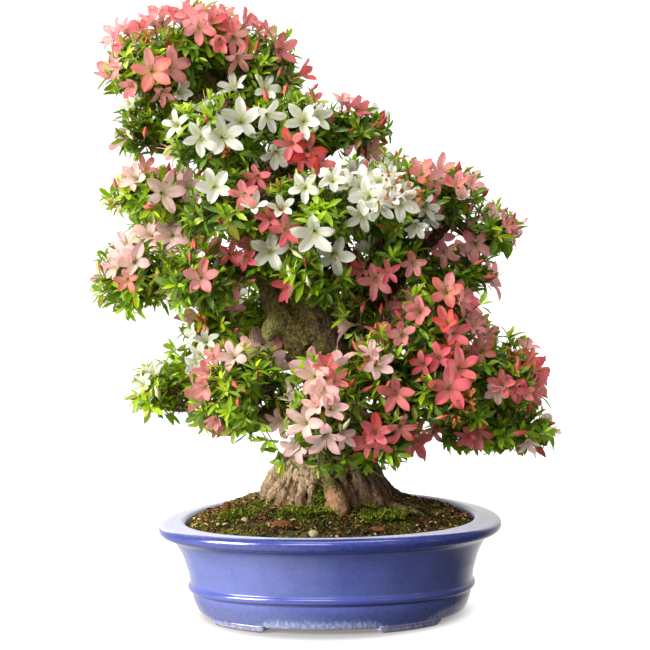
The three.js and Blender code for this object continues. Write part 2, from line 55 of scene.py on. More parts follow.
TRUNK = [
    (0, 2, 118, 62), (-3, 2, 138, 60), (-4, 3, 158, 56), (1, 4, 186, 47), (7, 6, 220, 39), (8, 8, 262, 34),
    (3, 8, 302, 32), (-8, 8, 338, 29), (-26, 10, 372, 25), (-48, 14, 408, 21), (-68, 14, 452, 18), (-84, 10, 498, 15),
    (-98, 6, 548, 12), (-114, 8, 594, 9.5), (-126, 8, 628, 7), (-132, 8, 650, 5),
]
ROOTS = [
    [(-30, -10, 152, 26), (-62, -16, 138, 19), (-84, -20, 127, 11), (-100, -22, 119, 6)],
    [(-28, -28, 150, 22), (-52, -44, 136, 15), (-70, -60, 125, 9), (-80, -70, 118, 5)],
    [(-8, -34, 152, 19), (-18, -54, 138, 13), (-26, -70, 125, 8), (-30, -80, 118, 5)],
    [(6, -34, 152, 18), (11, -52, 141, 13.5), (14, -66, 131, 12), (15, -74, 122, 8)],
    [(26, -24, 154, 23), (48, -34, 142, 19), (66, -42, 129, 13), (78, -48, 118, 7)],
    [(30, 2, 154, 26), (58, -2, 142, 18), (80, -6, 129, 11), (96, -10, 119, 5)],
    [(20, 28, 150, 22), (44, 46, 136, 15), (62, 60, 122, 8), (68, 66, 117, 5)],
    [(-6, 36, 150, 22), (-12, 58, 136, 14), (-16, 76, 121, 7)],
    [(-30, 22, 150, 22), (-56, 36, 137, 15), (-78, 48, 121, 8)],
]
LIMBS = [
    [(-18, -4, 318, 20), (-44, -10, 340, 15), (-59, -12, 372, 13), (-66, -10, 404, 11), (-84, -22, 440, 9), (-88, -40, 462, 7)],
    [(-8, -8, 246, 20), (-40, -22, 240, 14), (-76, -36, 232, 11), (-104, -42, 224, 9), (-128, -38, 224, 6.5), (-156, -28, 242, 4)],
    [(-40, 8, 392, 15), (-84, -4, 392, 10), (-124, -6, 384, 8), (-172, -8, 384, 5)],
    [(-72, 14, 462, 13), (-112, 4, 462, 9), (-152, -8, 470, 5)],
    [(-92, 8, 524, 11), (-128, -4, 530, 7.5), (-158, -14, 540, 4.5)],
    [(-112, 8, 588, 8), (-142, 0, 600, 6), (-164, -8, 610, 4)],
    [(8, 10, 310, 22), (32, 12, 342, 17), (62, 10, 368, 14), (96, 8, 396, 10.5), (128, 6, 432, 8), (150, 6, 452, 5.5)],
    [(92, 8, 394, 10), (124, 12, 388, 8), (158, 14, 380, 5)],
    [(12, 8, 272, 22), (48, 6, 282, 16), (88, -2, 282, 12), (132, -4, 268, 9.5), (170, -4, 252, 7), (196, 2, 236, 4.5)],
    [(90, -2, 284, 11), (116, -8, 306, 8), (134, -18, 322, 5)],
    [(-74, 14, 470, 12), (-46, 4, 504, 9), (-34, -8, 534, 6)],
    [(-44, 4, 506, 8), (-6, 10, 524, 6), (22, 10, 540, 4)],
    [(34, 12, 344, 13), (36, 2, 392, 10), (22, -26, 432, 7)],
    [(60, 10, 368, 11), (68, -4, 410, 8), (74, -18, 438, 5)],
    [(6, 22, 290, 18), (26, 60, 304, 11), (40, 92, 314, 6.5)],
    [(-4, 20, 298, 17), (-34, 56, 300, 10), (-50, 88, 300, 6)],
    [(-36, 18, 388, 14), (-60, 52, 420, 9), (-76, 80, 450, 5.5)],
]
PADS = [
    ("apex_left", -190, -15, 628, 53, 54, 53), ("apex_middle", -132, 8, 654, 56, 62, 52),
    ("apex_right", -76, 22, 624, 52, 56, 52), ("upper_left", -184, -20, 560, 44, 50, 34),
    ("upper_middle", -115, -48, 548, 54, 54, 46), ("upper_right", -30, -28, 558, 52, 54, 47),
    ("shoulder_right", 36, 10, 556, 42, 46, 31), ("left_middle", -193, -15, 490, 49, 56, 32),
    ("centre_left", -90, -72, 472, 58, 54, 44), ("centre", 0, -64, 462, 52, 56, 54),
    ("left_low", -214, -10, 390, 51, 56, 43), ("left_inner", -130, -58, 396, 50, 48, 40),
    ("right_middle", 84, -37, 474, 54, 62, 48), ("right_upper", 140, 5, 476, 46, 56, 39),
    ("right_far", 195, 18, 436, 30, 38, 26), ("right_inner", 82, -6, 398, 54, 58, 39),
    ("right_end", 158, 10, 390, 44, 50, 32), ("lower_right_upper", 133, -34, 340, 50, 54, 40),
    ("lower_right_end", 202, -8, 272, 50, 60, 44), ("lower_right_front", 138, -60, 264, 54, 52, 46),
    ("lower_right_skirt", 190, 10, 211, 72, 58, 29), ("lower_right_inner", 76, -68, 288, 44, 50, 48),
    ("lower_centre", 10, -96, 250, 42, 44, 64), ("lower_left", -88, -62, 272, 57, 54, 52),
    ("lower_left_end", -181, -20, 263, 41, 44, 31), ("left_spur", -126, 4, 334, 36, 42, 30),
    ("back_apex", -136, 84, 596, 64, 44, 52), ("back_left", -188, 90, 468, 52, 48, 54),
    ("back_middle", -84, 100, 486, 66, 50, 60), ("back_right", 50, 96, 472, 66, 52, 54),
    ("back_right_low", 126, 94, 328, 48, 52, 56), ("back_centre", 40, 112, 340, 56, 48, 54),
    ("back_left_low", -84, 106, 328, 64, 50, 56), ("centre_low", 2, -60, 392, 44, 44, 29),
    ("right_core", 58, -14, 338, 40, 42, 34), ("lower_right_centre", 76, -76, 220, 41, 44, 38),
    ("left_core", -62, -44, 412, 36, 40, 32),
]
BLOOMS = [
    ("bloom_apex_pink", "apex_left", (0.25, -1, 0), "pink"), ("bloom_upper_white", "upper_middle", (0.45, -1, 0.1), "white"),
    ("bloom_left_pale", "left_middle", (0.5, -1, 0.05), "pale"), ("bloom_centre_white", "centre", (0.1, -1, -0.35), "white"),
    ("bloom_right_salmon", "lower_right_front", (0.2, -1, 0.2), "salmon"), ("bloom_low_pale", "lower_centre", (0.1, -1, -0.7), "pale"),
]

# ------------------------------------------------------------------ flowers: where they stand out, in pixels of the view
# u v  kind  dx dy  radius: dx, dy lean the flower right and up in the view, 1 being side-on; the radius is in pixels.
# Kinds: W white, P pale pink, K pink, S salmon or coral.

FLOWERS = """
112 34 K -.8 .3 17   116 46 S -.9 -.3 14  114 68 K -.9 -.1 14  121 26 K -.6 .7 14   138 25 S -.5 .6 17
150 13 K -.4 .8 16   162 10 S .1 .9 17    160 24 K -.2 .3 16   176 14 S .3 .8 15   190 13 K -.2 .7 16
199 7 S .1 1 14      199 27 K .1 -.2 18   212 18 S .3 .7 15    224 12 K .2 .9 15   231 26 S -.3 .3 16
236 38 K .2 -.2 17   249 20 S .5 .8 16    262 28 K .7 .5 15    219 42 S -.2 -.4 15  270 30 K .6 .6 13
283 49 S .6 .1 18    240 60 K .5 -.7 16   306 72 S .9 .35 15   152 73 K -.25 -.1 19 172 66 K .2 .05 19
131 87 K -.5 -.3 15  163 95 K .1 -.7 14   128 102 W -.5 .7 15
182 92 W .5 .2 13    174 124 W -.5 .1 15  200 139 W .05 -.1 19 241 119 W -.1 .1 23  270 117 W .5 -.4 17
232 84 W -.3 .8 16   267 87 W .3 .6 15    303 120 W -.1 0 21   319 117 W .6 .2 17   237 150 W .3 .5 16
276 156 W .1 -.5 15  214 186 W .1 -.1 18  253 203 W -.1 .8 15  281 206 W .1 .6 14   304 188 W -.1 -.2 15
332 178 W -.2 .3 15  317 231 W 0 .1 19    270 251 W -.05 -.1 20 335 257 W .1 -.1 20
290 144 S -.3 0 16   309 151 S .1 .1 18   321 166 S .3 -.4 17   300 160 S -.2 -.4 14 316 97 S .6 .7 12
349 101 S .1 .9 16   360 108 S .6 .4 12   342 96 P .1 .9 9      374 151 K .5 .4 15
133 177 P -.5 .1 17  146 166 K .3 .4 13   189 187 P -.05 0 18   256 178 S -.3 -.5 15 243 195 S -.2 -.3 15
269 217 S -.2 .4 16  287 231 S .4 -.1 16  171 236 P -.1 .1 19   149 236 P -.2 .2 17  126 240 P -.3 .5 15
121 254 P -.6 .1 15  134 260 P 0 .1 17    112 268 P -.7 -.2 12  126 281 K -.2 -.4 13 201 277 K .05 0 18
231 254 S .1 -.2 14  246 259 S .3 -.4 12
352 172 W -.3 .7 17  368 173 W .2 .8 16   379 179 W 0 .6 14     391 173 W .2 .8 14   359 184 W -.4 .2 17
367 197 W -.1 0 20   401 186 W .4 .5 15   381 206 W .4 -.4 17   402 203 W .3 -.2 19  389 194 W 0 .3 15
361 217 W -.1 -.3 16 411 197 W .6 .1 14   428 208 W .5 -.1 14   432 220 W .4 -.5 13  416 228 W 0 -.5 12
346 182 W -.7 .3 14  421 171 K -.2 .2 16  440 168 K .3 .4 17    437 182 K .4 -.3 13  472 182 K .3 .7 13
462 195 P 0 .5 13    456 182 K 0 .7 11    495 215 P .1 .8 13    508 223 K .7 .4 11   514 232 K .9 -.1 10
475 246 K .05 -.05 18 438 239 K -.1 .1 17 446 254 K .3 -.5 14   413 265 K 0 -.3 14   376 281 K .1 -.1 18
359 270 S -.3 -.1 11 389 272 S .4 .2 13   446 290 K -.1 .1 18   463 293 K .6 .2 14   465 303 K .7 -.1 11
418 311 K 0 0 19     401 334 K -.1 -.1 17 446 321 S -.2 .4 16   456 332 S .3 .3 17   476 324 K .4 .5 13
490 332 K .7 .1 13   483 350 K .4 .1 15   438 357 S -.2 -.1 16  421 364 S -.5 -.2 13 452 347 S -.2 .5 15
461 367 S .15 0 20   443 380 S .4 -.1 17  396 394 S -.05 0 20   379 365 P .5 0 17    371 350 P -.1 .8 13
349 350 P 0 .9 13    501 384 S -.1 .4 14  514 388 S .5 0 12     497 393 P -.2 -.5 10 533 359 S .5 .5 15
541 371 S .8 .1 15   528 343 K .3 .8 11   538 386 S .7 -.1 14   535 398 K .5 -.5 13  523 393 S .1 -.3 11
478 435 S .2 -.7 17  466 438 S -.5 -.5 12 402 430 S .2 -.5 16   376 431 S .1 .3 17   365 443 S -.4 -.4 15
381 445 S .4 -.5 15  433 433 S .2 -.6 11  528 446 P .1 -.7 12
232 354 P -.3 .3 17  262 341 P 0 .5 17    282 338 S .1 .3 15    306 353 P -.2 .5 15  312 376 P -.2 0 18
325 366 S .2 .4 15   323 392 P .1 -.2 17  337 381 S .3 0 15     333 408 P .3 .2 16   303 423 P -.2 .1 20
325 438 P 0 0 21     338 450 P .4 -.3 17  295 449 P -.4 -.5 16  277 424 P -.6 -.3 16 315 405 P -.4 .2 14
205 372 K -.5 .1 15  203 389 K -.3 -.5 12 213 355 K -.3 .6 12   214 421 K -.2 -.4 13 224 433 S .2 -.9 13
205 339 W -.1 .6 14  191 336 W -.8 .3 12  199 355 W -.2 .1 13   195 364 W .2 -.5 12  140 383 W -.7 .3 13
153 370 W -.2 .8 12  345 437 P .6 .1 13
"""

# Buds: u v  kind  dx dy  length in pixels. C is a cream bud, R a red one, O a faded orange-brown flower.
BUDS = """
382 123 R .6 .8 13   331 117 R -.1 1 12   316 86 R .6 .6 9    247 42 R -.1 1 14  257 46 R .3 1 12   240 99 C -.2 1 12
199 120 C 0 1 13     130 135 C .4 -.8 13  173 175 R .6 .8 13  150 207 R .9 -.1 14 184 236 R -.6 .6 13 194 243 R .2 .7 13
190 256 R 0 1 10     290 273 C -.4 .8 17  308 281 C -.3 .8 12 298 255 C .7 -.6 14 281 183 R .2 .8 11  270 168 R .3 .6 10
434 201 R .1 1 14    441 210 R .4 .9 11   471 208 R .1 .9 11  486 193 R .6 .7 11  491 277 R 1 0 14   480 262 R .8 .3 11
518 366 R .1 1 18    550 424 R .9 .1 13   521 433 R 1 .1 16   541 452 R .6 -.8 15 453 405 R .5 .5 11 443 417 R 1 .2 11
422 379 R .8 .3 12   359 411 R .1 1 13    375 461 R 0 -.4 9   415 437 R .3 .5 11  292 353 R .5 .8 14 257 376 R 0 1 12
235 385 R .4 -.6 14  245 391 R .6 -.5 12  238 403 R 0 -1 10   220 353 R .3 .8 10  157 392 C -.4 .9 13 352 383 R .5 .6 12
363 306 R .2 1 11    376 327 R 0 .9 10    389 383 R .4 .5 9   430 168 R .2 1 9    396 155 R .2 1 10  404 158 R .3 1 10
368 389 R .8 .4 13   347 424 C .6 .8 14   314 465 R 0 -.5 7   352 130 R .4 .6 9   362 150 R -.3 .8 10 253 281 R .6 .2 11
410 193 O .4 .3 12   395 181 O .5 .4 10   420 201 O .7 -.2 10 388 199 O .2 -.2 9  467 395 O 0 .6 11  467 406 O .2 -.4 10
456 419 O .3 -.5 9   201 320 O -.6 .4 10  368 362 O -.3 .4 11 170 45 O .1 .3 10   145 40 O -.2 .4 9  514 352 O .2 .5 9
227 152 O -.5 .3 9   530 407 O .4 -.2 8   275 210 O .3 -.3 8
"""

# The view: its position and axes in millimetres, and its focal length in pixels of a 650 by 650 picture.
EYE = np.array([242.8175, -2121.5356, 529.2695])
FORWARD = np.array([-0.11270506, 0.98947603, -0.09074556])
RIGHT = np.array([0.99347576, 0.1106156, -0.02775084])
UP = np.array([0.01742092, 0.09328117, 0.99548739])
FOCAL = 1864.41
SIZE = 650.0

# ------------------------------------------------------------------ small tools


def unit(v):
    v = np.asarray(v, float)
    return v / np.maximum(np.linalg.norm(v, axis=-1, keepdims=True), 1e-12)


def smooth(a, b, x):
    t = np.clip((x - a) / (b - a), 0, 1)
    return t * t * (3 - 2 * t)


def lattice(i, j, k, seed):
    h = (i * 374761393 + j * 668265263 + k * 1103515245 + seed * 974634777) & 0xFFFFFFFF
    h = ((h ^ (h >> 13)) * 1274126177) & 0xFFFFFFFF
    h = h ^ (h >> 16)
    return (h & 0xFFFFFFFF) / 2147483648.0 - 1.0


def noise(p, scale, seed=0):
    """Value noise from -1 to 1 at points p, with cells of this size."""
    q = np.asarray(p, float) / scale
    c = np.floor(q).astype(np.int64)
    f = q - c
    f = f * f * (3 - 2 * f)
    out = 0
    for dx in (0, 1):
        for dy in (0, 1):
            for dz in (0, 1):
                w = (f[..., 0] if dx else 1 - f[..., 0]) * (f[..., 1] if dy else 1 - f[..., 1]) * (f[..., 2] if dz else 1 - f[..., 2])
                out = out + w * lattice(c[..., 0] + dx, c[..., 1] + dy, c[..., 2] + dz, seed)
    return out


def fbm(p, scale, seed=0, octaves=4, gain=0.5):
    out, amp, total = 0, 1.0, 0.0
    for o in range(octaves):
        out = out + amp * noise(p, scale / 2**o, seed + 17 * o)
        total += amp
        amp *= gain
    return out / total


def frames(axis, toward=(0, 0, 1)):
    """Two unit vectors square to each axis: the first leans toward the given direction."""
    axis = unit(axis)
    t = np.broadcast_to(np.asarray(toward, float), axis.shape)
    u = t - (t * axis).sum(-1, keepdims=True) * axis
    bad = np.linalg.norm(u, axis=-1) < 0.05
    if bad.any():
        alt = np.array([0.3, -1.0, 0.1])
        u = np.where(bad[..., None], alt - (alt * axis).sum(-1, keepdims=True) * axis, u)
    u = unit(u)
    return u, np.cross(axis, u)


def make_mesh(name, verts, faces, uv=None, materials=(), which=None, flat=False, attributes=None):
    """A mesh object from verts in millimetres and lists of faces (arrays of one width each). uv holds one pair for each corner, in the order of the faces."""
    me = bpy.data.meshes.new(name)
    verts = np.asarray(verts, float).reshape(-1, 3) * MM
    faces = [np.asarray(f, np.int64) for f in faces if len(f)]
    me.vertices.add(len(verts))
    me.vertices.foreach_set("co", verts.astype(np.float32).ravel())
    loops = np.concatenate([f.ravel() for f in faces])
    totals = np.concatenate([np.full(len(f), f.shape[1]) for f in faces])
    me.loops.add(len(loops))
    me.loops.foreach_set("vertex_index", loops.astype(np.int32))
    me.polygons.add(len(totals))
    me.polygons.foreach_set("loop_start", (np.cumsum(totals) - totals).astype(np.int32))
    me.polygons.foreach_set("loop_total", totals.astype(np.int32))
    me.polygons.foreach_set("use_smooth", np.full(len(totals), not flat))
    if uv is not None:
        layer = me.uv_layers.new(name="OFBake")
        layer.uv.foreach_set("vector", np.asarray(uv, np.float32).ravel())
    if attributes:
        for key, values in attributes.items():
            a = me.attributes.new(key, "FLOAT", "POINT")
            a.data.foreach_set("value", np.asarray(values, np.float32))
    for m in materials:
        me.materials.append(m)
    if which is not None:
        me.polygons.foreach_set("material_index", np.asarray(which, np.int32))
    me.update(calc_edges=True)
    me.validate()
    ob = bpy.data.objects.new(name, me)
    bpy.context.scene.collection.objects.link(ob)
    return ob


class Batch:
    """Gathers many small shapes into one mesh."""

    def __init__(self):
        self.v, self.f, self.uv, self.m, self.n = [], {}, {}, {}, 0

    def add(self, verts, faces, uv, material=0):
        """verts (k, p, 3), faces (q, w) within one shape, uv (k, p, 2) or None."""
        verts = np.asarray(verts, float)
        if not len(verts):
            return
        k, p = verts.shape[:2]
        faces = np.asarray(faces)
        ids = self.n + (np.arange(k) * p)[:, None, None] + faces[None]
        w = faces.shape[1]
        self.v.append(verts.reshape(-1, 3))
        self.f.setdefault(w, []).append(ids.reshape(-1, w))
        if uv is None:
            uv = np.zeros((k, p, 2))
        self.uv.setdefault(w, []).append(uv[:, faces].reshape(-1, 2))
        self.m.setdefault(w, []).append(np.full(k * len(faces), material))
        self.n += k * p

    def join(self, verts, groups, uv, material=0):
        """The same, with several face arrays over the same verts."""
        verts = np.asarray(verts, float)
        if not len(verts):
            return
        k, p = verts.shape[:2]
        start = self.n
        self.v.append(verts.reshape(-1, 3))
        for faces in groups:
            faces = np.asarray(faces)
            w = faces.shape[1]
            ids = start + (np.arange(k) * p)[:, None, None] + faces[None]
            self.f.setdefault(w, []).append(ids.reshape(-1, w))
            self.uv.setdefault(w, []).append(uv[:, faces].reshape(-1, 2))
            self.m.setdefault(w, []).append(np.full(k * len(faces), material))
        self.n += k * p

    def object(self, name, materials, flat=False):
        widths = sorted(self.f)
        return make_mesh(
            name, np.concatenate(self.v), [np.concatenate(self.f[w]) for w in widths],
            uv=np.concatenate([np.concatenate(self.uv[w]) for w in widths]), materials=materials,
            which=np.concatenate([np.concatenate(self.m[w]) for w in widths]), flat=flat,
        )


def tube_faces(n, sides):
    """Quads of a tube of n rings, then triangles to a tip vertex that follows the last ring."""
    quads, tris = [], []
    for i in range(n - 1):
        for j in range(sides):
            a, b = i * sides + j, i * sides + (j + 1) % sides
            quads.append((a, b, b + sides, a + sides))
    for j in range(sides):
        tris.append(((n - 1) * sides + j, (n - 1) * sides + (j + 1) % sides, n * sides))
    return np.array(quads), np.array(tris)


def tubes(batch, paths, radii, sides, tile, material=0):
    """Tapered tubes along paths (k, n, 3) with radii (k, n), closed with a tip. tile is (k, 4): low u, low v, width, height."""
    paths, radii = np.asarray(paths, float), np.asarray(radii, float)
    if not len(paths):
        return
    k, n = paths.shape[:2]
    tangent = unit(np.gradient(paths, axis=1))
    u, v = frames(tangent.mean(1), (0.31, 0.87, 0.11))
    u = unit(u[:, None] - (u[:, None] * tangent).sum(-1, keepdims=True) * tangent)
    v = np.cross(tangent, u)
    a = (np.arange(sides) + 0.5) / sides * 2 * np.pi
    ring = np.cos(a)[None, None, :, None] * u[:, :, None] + np.sin(a)[None, None, :, None] * v[:, :, None]
    verts = paths[:, :, None] + radii[:, :, None, None] * ring
    tip = paths[:, -1] + tangent[:, -1] * radii[:, -1:] * 0.8
    verts = np.concatenate([verts.reshape(k, -1, 3), tip[:, None]], 1)
    around = 1 - np.abs(2 * np.arange(sides) / sides - 1)
    uv = np.zeros((k, n * sides + 1, 2))
    uv[:, :-1, 0] = np.tile(0.08 + 0.84 * around, n)[None]
    uv[:, :-1, 1] = np.repeat(0.06 + 0.84 * np.arange(n) / n, sides)[None]
    uv[:, -1] = (0.5, 0.96)
    uv = tile[:, None, :2] + uv * tile[:, None, 2:]
    quads, tris = tube_faces(n, sides)
    batch.join(verts, [quads, tris], uv, material)


def bezier(p0, p1, p2, n):
    """Points (k, n, 3) on quadratic curves."""
    t = np.linspace(0, 1, n)[None, :, None]
    return (1 - t) ** 2 * p0[:, None] + 2 * t * (1 - t) * p1[:, None] + t * t * p2[:, None]


def tiles(index, across, up=None):
    """The tile number index of a map of across by up tiles, as low u, low v, width, height."""
    up = up or across
    index = np.asarray(index, int)
    return np.stack([(index % across) / across, (index // across) / up, np.full(index.shape, 1 / across), np.full(index.shape, 1 / up)], -1)


# ------------------------------------------------------------------ materials


class Material:
    def __init__(self, name):
        self.m = bpy.data.materials.new(name)
        self.m.use_nodes = True
        self.t = self.m.node_tree
        self.t.nodes.clear()
        self.out = self.t.nodes.new("ShaderNodeOutputMaterial")

    def put(self, node, key, value):
        if value is None:
            return
        socket = node.inputs[key]
        if isinstance(value, bpy.types.NodeSocket):
            self.t.links.new(value, socket)
        elif isinstance(value, (tuple, list)) and len(value) == 3 and socket.type == "RGBA":
            socket.default_value = (*value, 1)
        else:
            socket.default_value = value

    def node(self, kind, out=0, settings=None, **inputs):
        n = self.t.nodes.new("ShaderNode" + kind)
        for k, v in (settings or {}).items():
            setattr(n, k, v)
        for k, v in inputs.items():
            self.put(n, int(k[1:]) if k[0] == "i" and k[1:].isdigit() else k.replace("_", " "), v)
        return n.outputs[out]

    def math(self, op, a, b=None, c=None, clamp=False):
        return self.node("Math", settings={"operation": op, "use_clamp": clamp}, i0=a, i1=b, i2=c)

    def vec(self, op, a, b=None, out=0):
        return self.node("VectorMath", out, {"operation": op}, i0=a, i1=b)

    def scaled(self, v, s):
        return self.vec("MULTIPLY", v, s if isinstance(s, tuple) else (s, s, s))

    def split(self, v):
        n = self.t.nodes.new("ShaderNodeSeparateXYZ")
        self.put(n, 0, v)
        return n.outputs[0], n.outputs[1], n.outputs[2]

    def merge(self, x=0.0, y=0.0, z=0.0):
        return self.node("CombineXYZ", i0=x, i1=y, i2=z)

    def noise(self, v, scale, detail=3.0, rough=0.5, dist=0.0, out=0):
        return self.node("TexNoise", out, Vector=v, Scale=scale, Detail=detail, Roughness=rough, Distortion=dist)

    def voronoi(self, v, scale, feature="F1", out=0, rand=1.0):
        return self.node("TexVoronoi", out, {"feature": feature}, Vector=v, Scale=scale, Randomness=rand)

    def white(self, v, out=0):
        return self.node("TexWhiteNoise", out, Vector=v)

    def ramp(self, fac, stops, mode="LINEAR"):
        n = self.t.nodes.new("ShaderNodeValToRGB")
        n.color_ramp.interpolation = mode
        e = n.color_ramp.elements
        while len(e) < len(stops):
            e.new(0.5)
        for el, (at, colour) in zip(e, stops):
            el.position = at
            el.color = (*colour, 1) if isinstance(colour, (tuple, list)) else (colour, colour, colour, 1)
        self.put(n, 0, fac)
        return n.outputs[0]

    def map(self, x, a, b, c=0.0, d=1.0, smooth=False):
        return self.node("MapRange", 0, {"interpolation_type": "SMOOTHSTEP" if smooth else "LINEAR"}, i0=x, i1=a, i2=b, i3=c, i4=d)

    def mix(self, fac, a, b, mode="MIX"):
        n = self.t.nodes.new("ShaderNodeMix")
        n.data_type, n.blend_type = "RGBA", mode
        self.put(n, 0, fac)
        self.put(n, 6, a)
        self.put(n, 7, b)
        return n.outputs[2]

    def hsv(self, colour, hue=0.5, sat=1.0, val=1.0):
        return self.node("HueSaturation", Hue=hue, Saturation=sat, Value=val, Color=colour)

    def bump(self, height, strength=0.5, distance=0.001, normal=None):
        return self.node("Bump", Height=height, Strength=strength, Distance=distance, Normal=normal)

    def finish(self, colour, rough, normal=None, clear=None, clear_colour=None, **more):
        n = self.t.nodes.new("ShaderNodeBsdfPrincipled")
        self.put(n, "Base Color", colour)
        self.put(n, "Roughness", rough)
        self.put(n, "Normal", normal)
        for k, v in more.items():
            self.put(n, k.replace("_", " "), v)
        shader = n.outputs[0]
        if clear:
            t = self.t.nodes.new("ShaderNodeBsdfTranslucent")
            self.put(t, 0, clear_colour if clear_colour is not None else colour)
            self.put(t, 1, normal)
            x = self.t.nodes.new("ShaderNodeMixShader")
            x.inputs[0].default_value = clear
            self.t.links.new(shader, x.inputs[1])
            self.t.links.new(t.outputs[0], x.inputs[2])
            shader = x.outputs[0]
        self.t.links.new(shader, self.out.inputs[0])
        return self.m

    def tiled(self, across, up=None):
        """The place in a tile from 0 to 1, and the tile's whole numbers, from the mesh's own map."""
        up = up or across
        uv = self.node("UVMap", settings={"uv_map": "OFBake"})
        q = self.scaled(uv, (across, up, 1.0))
        return self.vec("FRACTION", q), self.vec("FLOOR", q)


def srgb(r, g, b):
    return tuple((c / 255 / 12.92) if c / 255 <= 0.04045 else ((c / 255 + 0.055) / 1.055) ** 2.4 for c in (r, g, b))


def leaf_material():
    m = Material("leaf")
    place, tile = m.tiled(8)
    x, y, _ = m.split(place)
    col, row, _ = m.split(tile)
    chance = m.white(tile)
    chance2 = m.white(m.vec("ADD", tile, (31.0, 7.0, 3.0)))
    # The rows of the map run from dark leaves to light ones. A leaf's row holds its own tone together with painted
    # shade and painted light, set by where its shoot stands in the tree.
    tone = m.math("DIVIDE", m.math("ADD", row, 0.5), 8.0)
    base = m.ramp(tone, [
        (0.0, srgb(16, 32, 7)), (0.125, srgb(27, 50, 9)), (0.25, srgb(47, 84, 10)), (0.375, srgb(74, 119, 13)),
        (0.5, srgb(103, 148, 16)), (0.625, srgb(131, 170, 22)), (0.75, srgb(160, 191, 36)), (0.875, srgb(196, 210, 72)),
    ], "CONSTANT")
    base = m.hsv(base, m.map(chance, 0, 1, 0.478, 0.518), m.map(chance2, 0, 1, 0.85, 1.1), m.map(chance2, 0, 1, 0.82, 1.15))
    # A few of the older leaves have turned reddish brown.
    old = m.math("MULTIPLY", m.math("GREATER_THAN", chance, 0.88), m.math("LESS_THAN", tone, 0.62))
    base = m.mix(m.math("MULTIPLY", old, 0.62), base, srgb(122, 58, 30))
    side = m.math("ABSOLUTE", m.math("SUBTRACT", x, 0.5))
    rib = m.map(side, 0.0, 0.045, 1.0, 0.0, True)
    slant = m.math("SUBTRACT", y, m.math("MULTIPLY", side, 0.55))
    veins = m.math("SINE", m.math("MULTIPLY", slant, 56.0))
    veins = m.math("MULTIPLY", m.map(veins, 0.7, 1.0, 0.0, 1.0, True), m.map(side, 0.03, 0.42, 1.0, 0.0))
    patch = m.noise(m.vec("ADD", m.scaled(place, (3.0, 6.0, 1.0)), m.scaled(tile, 5.3)), 1.0, 2.0)
    colour = m.mix(m.map(patch, 0.35, 0.7, 0.0, 0.35), base, m.mix(m.map(tone, 0.1, 0.6, 0.1, 0.5, True), base, srgb(148, 168, 28)), "MIX")
    colour = m.mix(m.math("MULTIPLY", rib, 0.55), colour, m.mix(m.map(tone, 0.1, 0.6, 0.25, 0.6, True), colour, srgb(184, 203, 66)))
    colour = m.mix(m.math("MULTIPLY", veins, 0.28), colour, m.mix(m.map(tone, 0.1, 0.6, 0.2, 0.5, True), colour, srgb(164, 188, 46)))
    colour = m.mix(m.map(y, 0.86, 1.0, 0.0, 0.55), colour, m.mix(0.6, colour, srgb(150, 130, 50)))
    colour = m.mix(m.map(y, 0.0, 0.16, 0.5, 0.0), colour, srgb(140, 154, 50))
    edge = m.map(side, 0.40, 0.5, 0.0, 0.3)
    colour = m.mix(edge, colour, m.mix(0.5, colour, srgb(40, 50, 20)))
    height = m.math("SUBTRACT", m.math("MULTIPLY", patch, 0.4), m.math("ADD", rib, m.math("MULTIPLY", veins, 0.5)))
    rough = m.map(patch, 0.3, 0.75, 0.24, 0.38)
    return m.finish(colour, rough, m.bump(height, 0.35, 0.0006), clear=0.33,
                    clear_colour=m.mix(0.5, colour, srgb(166, 212, 16)), Specular_IOR_Level=0.58, Specular_Tint=(0.88, 1.0, 0.45))


